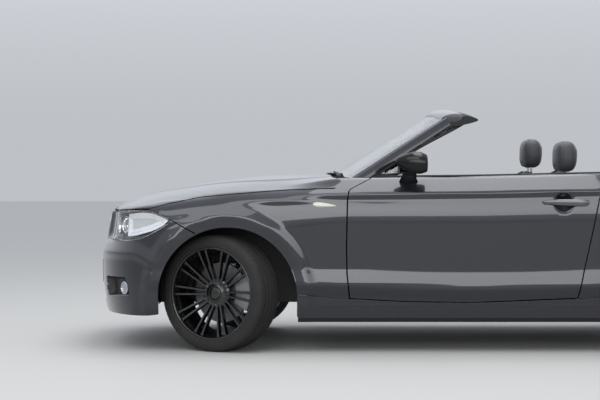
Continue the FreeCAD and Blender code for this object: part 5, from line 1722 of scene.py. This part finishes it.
def dashboardForm():
    # Rounded dash lofted across the car with a hood over the dials and a shallow dip at the middle
    base = [(1005, 566), (1005, 860), (860, 862), (740, 876), (680, 884), (610, 872), (578, 818), (588, 760), (680, 700), (702, 566)]
    ring = softClosed(np.array(base, dtype=float), 26)[::3]
    rings = []
    for y in np.linspace(-678, 678, 121):
        hood = easeIn((y - 178) / 46) * easeIn((548 - y) / 46)
        middle = easeIn((y + 215) / 50) * easeIn((165 - y) / 50)
        p = ring.copy()
        top = easeIn((p[:, 1] - 840) / 36) * easeIn((p[:, 0] - 560) / 30) * easeIn((800 - p[:, 0]) / 110)
        p[:, 1] += 40 * hood * top + 6 * middle * top
        p[:, 0] += 10 * middle * easeIn((760 - p[:, 0]) / 60) - 6 * hood * top
        rings.append(np.stack([p[:, 0], np.full(len(p), y), p[:, 1]], 1))
    return loft(rings)


def dashboard():
    pieceFrom("dash_skin", *dashboardForm(), dashPlastic(), "root", "interior_plastic", ["dashboard"])
    vents, slats, rings = [], [], []
    for y, w in ((610, 46), (70, 44), (-45, 44), (-610, 46)):
        vents.append(roundedBox(572, 600, y - w, y + w, 806, 846, 5))
        for z in (812, 820, 828, 836):
            slats.append(roundedBox(568, 576, y - w + 5, y + w - 5, z, z + 3, 1.4))
        rim = np.stack([np.full(40, 570.0), y + (w + 2) * np.cos(np.linspace(0, 2 * np.pi, 40, endpoint=False)),
                        826 + 23 * np.sin(np.linspace(0, 2 * np.pi, 40, endpoint=False))], 1)
        rings.append(bead(rim, np.tile([-1.0, 0, 0], (40, 1)), roundProfile(2.2, 2.2, 8), closed=True))
    pieceFrom("dash_vents", *merge(*vents), blackPlastic(), "root", "black_plastic")
    pieceFrom("dash_vent_slats", *merge(*slats), glossBlack(), "root", "black_plastic")
    pieceFrom("dash_vent_rims", *merge(*rings), chrome(), "root", "chrome_trim")
    radio = [roundedBox(596, 622, -105, 135, 716, 786, 6), roundedBox(594, 606, -90, 120, 676, 706, 5)]
    pieceFrom("dash_radio", *merge(*radio), glossBlack(), "root", "black_plastic")
    dials = []
    for y, r in ((300, 46), (420, 46)):
        dials.append((turnZ(revolve([(r - 4, 4), (r, 6), (r + 3, 2), (r + 3, -8), (r - 4, -8)], 48)[0], 90) + (612, y, 862),
                      revolve([(r - 4, 4), (r, 6), (r + 3, 2), (r + 3, -8), (r - 4, -8)], 48)[1]))
    pieceFrom("dial_rings", *merge(*dials), chrome(), "root", "chrome_trim")


def steeringWheel():
    # Leather rim, three spokes, padded boss, column and two stalks
    rim = revolve([(185 + 15 * math.cos(a), 15 * math.sin(a)) for a in np.linspace(0, 2 * np.pi, 20, endpoint=False)], 96)
    boss = superEllipsoid((0, -4, 0), (62, 26, 50), (0.6, 0.8))
    column = revolve([(0.01, -14), (34, -14), (30, -60), (31, -230), (0.01, -230)], 40)
    bars = []
    for a, reach in ((0, 180), (180, 180), (270, 180)):
        row = np.array([(40, 20, 9), (80, 15, 7), (130, 12, 6), (reach, 14, 7)], dtype=float)
        fine = resample(row, 14)
        t = np.linspace(0, 2 * np.pi, 16, endpoint=False)
        ring = [np.stack([np.full(16, r), 1.4 * d * np.sin(t) - 2, w * np.cos(t)], 1) for r, w, d in fine]
        p, f = loft(ring)
        bars.append((turnY(p, a), f))
    stalks = []
    for side in (-1, 1):
        row = np.linspace(0, 1, 10)[:, None]
        line = np.array([0, -42, 0]) + row * np.array([side * 150, 6, 34])
        stalks.append(bead(line, np.tile([0, 1.0, 0], (10, 1)), roundProfile(7, 5, 12)))

    def seated(form):
        # Local +Y looks at the driver: turned to -X, tilted, then moved to its place
        p, f = form
        p = np.stack([-p[:, 1], -p[:, 0], p[:, 2]], 1)
        a = math.radians(24)
        spin = np.array([[math.cos(a), 0, math.sin(a)], [0, 1, 0], [-math.sin(a), 0, math.cos(a)]])
        return facingOut(p @ spin.T + (470, 360, 790), f[:, ::-1])

    pieceFrom("wheel_rim_leather", *seated(rim), leather(), "root", "interior_plastic", ["steering_wheel"])
    pieceFrom("wheel_spokes", *merge(*[seated(b) for b in bars]), satinTrimAndHighlightPaint(), "root", "interior_plastic")
    pieceFrom("wheel_boss", *merge(seated(boss), seated(column), *[seated(b) for b in stalks]), dashPlastic(), "root",
              "interior_plastic")


def console():
    line = resample(np.array([(570, 540), (500, 466), (330, 436), (150, 420), (-100, 422), (-330, 430), (-412, 404), (-418, 380)]), 60)
    t = np.linspace(-1, 1, 25)
    rings = []
    for x, z in line:
        half = 92 - 10 * easeIn((x - 100) / 300)
        top = z - 16 * np.abs(t) ** 3.2
        ring = [(x, half * a, b) for a, b in zip(t, top)]
        ring += [(x, half * 1.02, 296), (x, -half * 1.02, 296)]
        rings.append(np.array(ring))
    form = loft(rings)
    pieceFrom("console_shell", *form, dashPlastic(), "root", "interior_plastic", ["console"])
    a = np.linspace(0, 2 * np.pi, 40, endpoint=False)
    gaiter = [np.stack([250 + r * np.cos(a) * 1.2, r * np.sin(a), np.full(40, z)], 1)
              for z, r in ((418, 52), (432, 47), (440, 39), (450, 35), (458, 26), (470, 22), (478, 14), (492, 12), (500, 9))]
    pieceFrom("gear_gaiter", *loft(gaiter), leather(), "root", "leather")
    knob = superEllipsoid((258, 0, 532), (25, 24, 30), (0.9, 0.9), (24, 32))
    rod = loft([np.stack([255 + 7 * np.cos(a), 7 * np.sin(a), np.full(40, z)], 1) for z in (492.0, 512.0)])
    pieceFrom("gear_knob", *merge(knob, rod), glossBlack(), "root", "black_plastic")
    brake = bead(np.array([(60 - 14 * k, 40, 430 + 7 * k) for k in range(16)], dtype=float), np.tile([0.4, 0, 0.9], (16, 1)),
                 roundProfile(13, 11, 16))
    pieceFrom("hand_brake", *brake, leather(), "root", "leather")
    cups = [revolve([(34, 4), (38, 5), (41, 2), (41, -10), (34, -10)], 40), revolve([(0.01, -9), (34, -9), (34, -12), (0.01, -12)], 40)]
    for x in (130, -120):
        p, f = merge(*cups)
        pieceFrom("cup_holder_%d" % abs(x), *facingOut(np.stack([p[:, 0] + x, p[:, 2], p[:, 1] + 420], 1), f), blackPlastic(), "root",
                  "black_plastic")


pads = {"voxel": 0.007, "fine": 0.005, "pressure": 4.0, "frames": 20}


def swell(piece, cap, voxel):
    # Voxel remesh, then cloth under pressure for a few frames, the travel of each point held under the cap
    shape = piece.modifiers.new("even", "REMESH")
    shape.mode = "VOXEL"
    shape.voxel_size = voxel
    keep = list(piece.data.materials)
    remeshed = bpy.data.meshes.new_from_object(piece.evaluated_get(bpy.context.evaluated_depsgraph_get()))
    piece.modifiers.clear()
    piece.data = remeshed
    count = len(remeshed.vertices)
    rest = np.empty(count * 3, dtype=np.float32)
    remeshed.vertices.foreach_get("co", rest)
    cloth = piece.modifiers.new("air", "CLOTH")
    cloth.settings.quality = 5
    cloth.settings.mass = 0.4
    cloth.settings.use_pressure = True
    cloth.settings.uniform_pressure_force = pads["pressure"]
    cloth.settings.effector_weights.gravity = 0.0
    cloth.point_cache.frame_start = 1
    cloth.point_cache.frame_end = pads["frames"]
    for number in range(1, pads["frames"] + 1):
        bpy.context.scene.frame_set(number)
    blown = piece.evaluated_get(bpy.context.evaluated_depsgraph_get()).data
    moved = np.empty(count * 3, dtype=np.float32)
    blown.vertices.foreach_get("co", moved)
    travel = (moved - rest).reshape(-1, 3)
    length = np.linalg.norm(travel, axis=1, keepdims=True)
    travel *= np.minimum(1, cap * mm / np.maximum(length, 1e-9))
    piece.modifiers.clear()
    remeshed.vertices.foreach_set("co", (rest.reshape(-1, 3) + travel).reshape(-1))
    remeshed.update()
    bpy.context.scene.frame_set(1)
    if not remeshed.materials:
        for material in keep:
            remeshed.materials.append(material)
    remeshed.shade_smooth()


def sewn(piece, lines, depth, width):
    # Seams pressed into a pad: lines are functions giving each point's distance from the seam, in millimetres
    mesh = piece.data
    count = len(mesh.vertices)
    co, normal = np.empty(count * 3, dtype=np.float32), np.empty(count * 3, dtype=np.float32)
    mesh.vertices.foreach_get("co", co)
    mesh.vertex_normals.foreach_get("vector", normal)
    p, n = co.reshape(-1, 3) * 1000.0, normal.reshape(-1, 3)
    for line in lines:
        d = line(p[:, 0], p[:, 1], p[:, 2])
        p = p - n * (depth * np.exp(-(d / width) ** 2))[:, None]
    mesh.vertices.foreach_set("co", (p / 1000.0).astype(np.float32).reshape(-1))
    mesh.update()


def padPiece(name, form, cap, voxel, lines, nodes, depth=5.0, width=7.0):
    piece = pieceFrom(name, *form, leather(), "root", "leather", nodes, 60)
    swell(piece, cap, voxel)
    sewn(piece, lines, depth, width)
    finer = piece.modifiers.new("finer", "SUBSURF")
    finer.levels = 1
    finer.render_levels = 1
    return piece


def copyPad(piece, name, offset, nodes, mirror=False):
    # The same finished pad on another seat
    mesh = piece.data.copy()
    count = len(mesh.vertices)
    co = np.empty(count * 3, dtype=np.float32)
    mesh.vertices.foreach_get("co", co)
    p = co.reshape(-1, 3)
    if mirror:
        p = p * (1, -1, 1)
        mesh.flip_normals()
    mesh.vertices.foreach_set("co", (p + np.array(offset) * mm).astype(np.float32).reshape(-1))
    mesh.update()
    other = bpy.data.objects.new(name, mesh)
    bpy.context.scene.collection.objects.link(other)
    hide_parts(*nodes)
    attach(other, "root")
    finer = other.modifiers.new("finer", "SUBSURF")
    finer.levels = 1
    finer.render_levels = 1
    return other


def crossRing(half, low, high, rise, along, tilt, count=33):
    # Section of a seat pad: flat underside, a top with raised bolsters at both sides and rounded corners
    t = np.linspace(-1, 1, count)
    bolster = easeIn((np.abs(t) - 0.58) / 0.2) * rise
    corner = np.clip((np.abs(t) - 0.88) / 0.12, 0, 1)
    top = high + bolster - 26 * corner ** 2
    under = low + 18 * corner ** 2
    across = np.concatenate([t * half, t[::-1] * half])
    up = np.concatenate([top, under[::-1]])
    origin, side = np.array(along, dtype=float), np.array(tilt, dtype=float)
    return np.stack([origin[0] + up * side[0], across, origin[1] + up * side[1]], 1)


def cushionForm():
    rings = []
    for x, low, high, half in ((-318, 352, 392, 190), (-312, 336, 412, 214), (-290, 330, 424, 226), (-200, 322, 430, 232),
                               (-60, 312, 436, 236), (80, 316, 440, 236), (150, 330, 441, 232), (190, 346, 432, 224),
                               (208, 358, 418, 206), (214, 374, 404, 180)):
        rings.append(crossRing(half, low, high, 22, (x, 0), (0, 1)))
    return loft(resampleRings(rings, 44))


def resampleRings(rings, count):
    rings = np.array(rings)
    n = np.arange(len(rings), dtype=float)
    flat = smoothRows(n, rings.reshape(len(rings), -1), np.linspace(0, len(rings) - 1, count))
    return flat.reshape(count, *rings.shape[1:])


def backForm():
    # Rings from the seat's fold up to its shoulders; the section's up direction points forward out of the backrest
    rings = []
    for x, z, deep, front, half in ((-330, 424, 0, 66, 196), (-322, 440, -14, 86, 214), (-318, 500, -26, 98, 224),
                                    (-336, 600, -26, 92, 226), (-362, 720, -28, 74, 222), (-384, 830, -26, 58, 206),
                                    (-400, 905, -22, 44, 176), (-412, 950, -16, 30, 140), (-420, 972, -6, 14, 100)):
        rings.append(crossRing(half, deep, front, 24, (x, z), (0.96, 0.28)))
    return loft(resampleRings(rings, 48))


def headForm():
    top, rings = 1132.0, []
    for dz, ahead, behind, half in ((-166, -378, -462, 96), (-158, -371, -470, 112), (-130, -368, -480, 123), (-95, -366, -485, 127),
                                    (-60, -366, -486, 126), (-32, -370, -477, 119), (-14, -383, -465, 103), (-5, -398, -451, 76),
                                    (-3, -410, -440, 40)):
        a = np.linspace(0, 2 * np.pi, 48, endpoint=False)
        c, s = np.cos(a), np.sin(a)
        x = (ahead + behind) / 2 + (ahead - behind) / 2 * np.sign(c) * np.abs(c) ** 0.62
        y = half * np.sign(s) * np.abs(s) ** 0.62
        rings.append(np.stack([x, y, np.full(48, top + dz)], 1))
    return loft(resampleRings(rings, 30))


def movedForm(form, offset):
    return form[0] + np.array(offset, dtype=float), form[1]


def frontSeats():
    y0 = 360.0
    node = ["seat_front_left"]
    side = [lambda x, y, z: np.abs(np.abs(y - y0) - 150)]
    cross = [lambda x, y, z: np.where((np.abs(y - y0) < 150) & (z > 425), np.abs(x - 70), 99),
             lambda x, y, z: np.where((np.abs(y - y0) < 150) & (z > 425), np.abs(x + 70), 99)]
    level = [lambda x, y, z: np.where((np.abs(y - y0) < 150) & (x > -330), np.abs(z - 640), 99),
             lambda x, y, z: np.where((np.abs(y - y0) < 150) & (x > -370), np.abs(z - 790), 99)]
    headSeam = [lambda x, y, z: np.abs(x + 396 + 0.03 * (z - 1050))]
    cushion = padPiece("seat_cushion_left", movedForm(cushionForm(), (0, y0, 0)), 14, pads["voxel"], side + cross, node)
    back = padPiece("seat_back_left", movedForm(backForm(), (0, y0, 0)), 14, pads["voxel"], side + level, node)
    head = padPiece("seat_head_left", movedForm(headForm(), (0, y0, 0)), 6, pads["fine"], headSeam, node, 2.5, 3.0)
    right = ["seat_front_right"]
    copyPad(cushion, "seat_cushion_right", (91, -720, 0), right)
    copyPad(back, "seat_back_right", (91, -720, 0), right)
    copyPad(head, "seat_head_right", (91, -720, 28), right)
    for label, dx, y, lift in (("left", 0, 360, 0), ("right", 91, -360, 28)):
        a = np.linspace(0, 2 * np.pi, 20, endpoint=False)
        posts = [loft([np.stack([-418 + dx + 6.5 * np.cos(a), y + s + 6.5 * np.sin(a), np.full(20, z)], 1) for z in (940.0, 980 + lift)])
                 for s in (-70, 70)]
        pieceFrom("head_posts_" + label, *merge(*posts), chrome(), "root", "chrome_trim")
        shields = [roundedBox(-330 + dx, 190 + dx, y + s * 238 - 9, y + s * 238 + 9, 262, 352, 9) for s in (-1, 1)]
        rails = [roundedBox(-300 + dx, 200 + dx, y + s * 190 - 16, y + s * 190 + 16, 183, 300, 6) for s in (-1, 1)]
        shell = roundedBox(-300 + dx, 190 + dx, y - 222, y + 222, 296, 332, 12)
        pieceFrom("seat_base_" + label, *merge(*shields, *rails, shell), blackPlastic(), "root", "black_plastic")


def rearSeats():
    y0, node = 285.0, ["rear_seat"]
    low, high = [], []
    for x, under, top, half in ((-998, 350, 462, 236), (-985, 346, 478, 252), (-900, 344, 484, 262), (-760, 344, 490, 266),
                                (-660, 350, 490, 262), (-628, 372, 478, 250), (-616, 400, 452, 226)):
        low.append(crossRing(half, under, top, 14, (x, 0), (0, 1)))
    for x, z, deep, front, half in ((-1085, 470, 0, 76, 224), (-1087, 500, -10, 88, 246), (-1094, 600, -12, 80, 258),
                                    (-1108, 740, -12, 66, 258), (-1120, 850, -10, 48, 240), (-1126, 886, -2, 28, 200)):
        high.append(crossRing(half, deep, front, 16, (x, z), (0.97, 0.2)))
    cushionSeams = [lambda x, y, z: np.where(z > 470, np.abs(np.abs(y - y0) - 160), 99)]
    backSeams = [lambda x, y, z: np.where(x > -1090, np.abs(np.abs(y - y0) - 160), 99)]
    cushion = padPiece("rear_cushion_left", movedForm(loft(resampleRings(low, 40)), (0, y0, 0)), 12, pads["voxel"], cushionSeams,
                       node)
    back = padPiece("rear_back_left", movedForm(loft(resampleRings(high, 40)), (0, y0, 0)), 12, pads["voxel"], backSeams, node)
    head = superEllipsoid((-1083, 330, 966), (38, 98, 58), (0.55, 0.55), (30, 48))
    rest = padPiece("rear_head_left", head, 5, pads["fine"], [lambda x, y, z: np.abs(x + 1066)], node, 2.0, 3.0)
    for piece in (cushion, back, rest):
        copyPad(piece, piece.name.replace("left", "right"), (0, 0, 0), node, mirror=True)
    posts = []
    a = np.linspace(0, 2 * np.pi, 16, endpoint=False)
    for y in (-380, -280, 280, 380):
        posts.append(loft([np.stack([-1083 + 5 * np.cos(a), y + 5 * np.sin(a), np.full(16, z)], 1) for z in (860.0, 925.0)]))
    pieceFrom("rear_head_posts", *merge(*posts), chrome(), "root", "chrome_trim")


def cabinMirror():
    shell = superEllipsoid((264, 0, 1190), (15, 116, 29), (0.5, 0.5))
    pane = superEllipsoid((251, 0, 1190), (3, 108, 23), (0.4, 0.4))
    a = np.linspace(0, 2 * np.pi, 20, endpoint=False)
    stem = loft([np.stack([264 + 7 * np.cos(a), 7 * np.sin(a), np.full(20, z)], 1) for z in (1205.0, 1250.0)])
    pieceFrom("cabin_mirror_shell", *merge(shell, stem), blackPlastic(), "root", "mirror_housing", ["interior_mirror"])
    pieceFrom("cabin_mirror_glass", *pane, chrome(), "root", "chrome_trim")


def floorMats():
    mats = [roundedBox(x0, x1, y - 210, y + 210, 182, 188, 3) for x0, x1, y in
            ((250, 860, 380), (340, 860, -380), (-545, -350, 380), (-545, -350, -380))]
    pieceFrom("floor_mats", *merge(*mats), carpet(), "root", "interior_plastic")


def exhaustTips():
    tips = []
    for y in (400, 490):
        p, f = revolve([(33, 0), (34.5, 1.5), (36.5, 0), (37, -8), (36, -150), (32, -150), (32, -10)], 56)
        tips.append((turnZ(p, 90) + (-2149, y, 205), f))
    pieceFrom("exhaust_tips", *merge(*tips), chrome(), "root", "steel")


camera()
stage()
softLight("key", (3.0, 6.0, 6.0), (0, 0, 0.5), (6, 4), 160)
softLight("top", (0, 0.0, 6.5), (0, 0, 0), (7, 3), 260)
softLight("strip", (0.6, 13.0, 3.4), (0, 0, 0.7), (18, 3.4), 240, 110)
bpy.context.scene.view_settings.view_transform = "Standard"
dressNodes()
bodyPanels()
print("body panels made")
wheels()
print("wheels made")
headlamps()
kidneys()
fogLamps()
frontIntake()
blankPlate("front_plate", 1.0, 352, 462, 2.0)
blankPlate("rear_plate", -1.0, 655, 765, 2.5, "boot_lid")
tailLamps()
print("lamps and grilles made")
mirrors()
doorHandles()
sideIndicators()
windscreen()
screenFrame()
quarterLights()
wiperBlades()
beltTrim()
archLips()
print("outer trim made")
doorCards()
doorEdges()
quarterTrims()
dashboard()
steeringWheel()
console()
floorMats()
cabinMirror()
exhaustTips()
print("cabin made")
frontSeats()
rearSeats()
print("seats made")
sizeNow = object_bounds()
plain = lambda box: [[float(c) for c in corner] for corner in box]
{"cad": plain(frameBox), "visual": plain(sizeNow)}
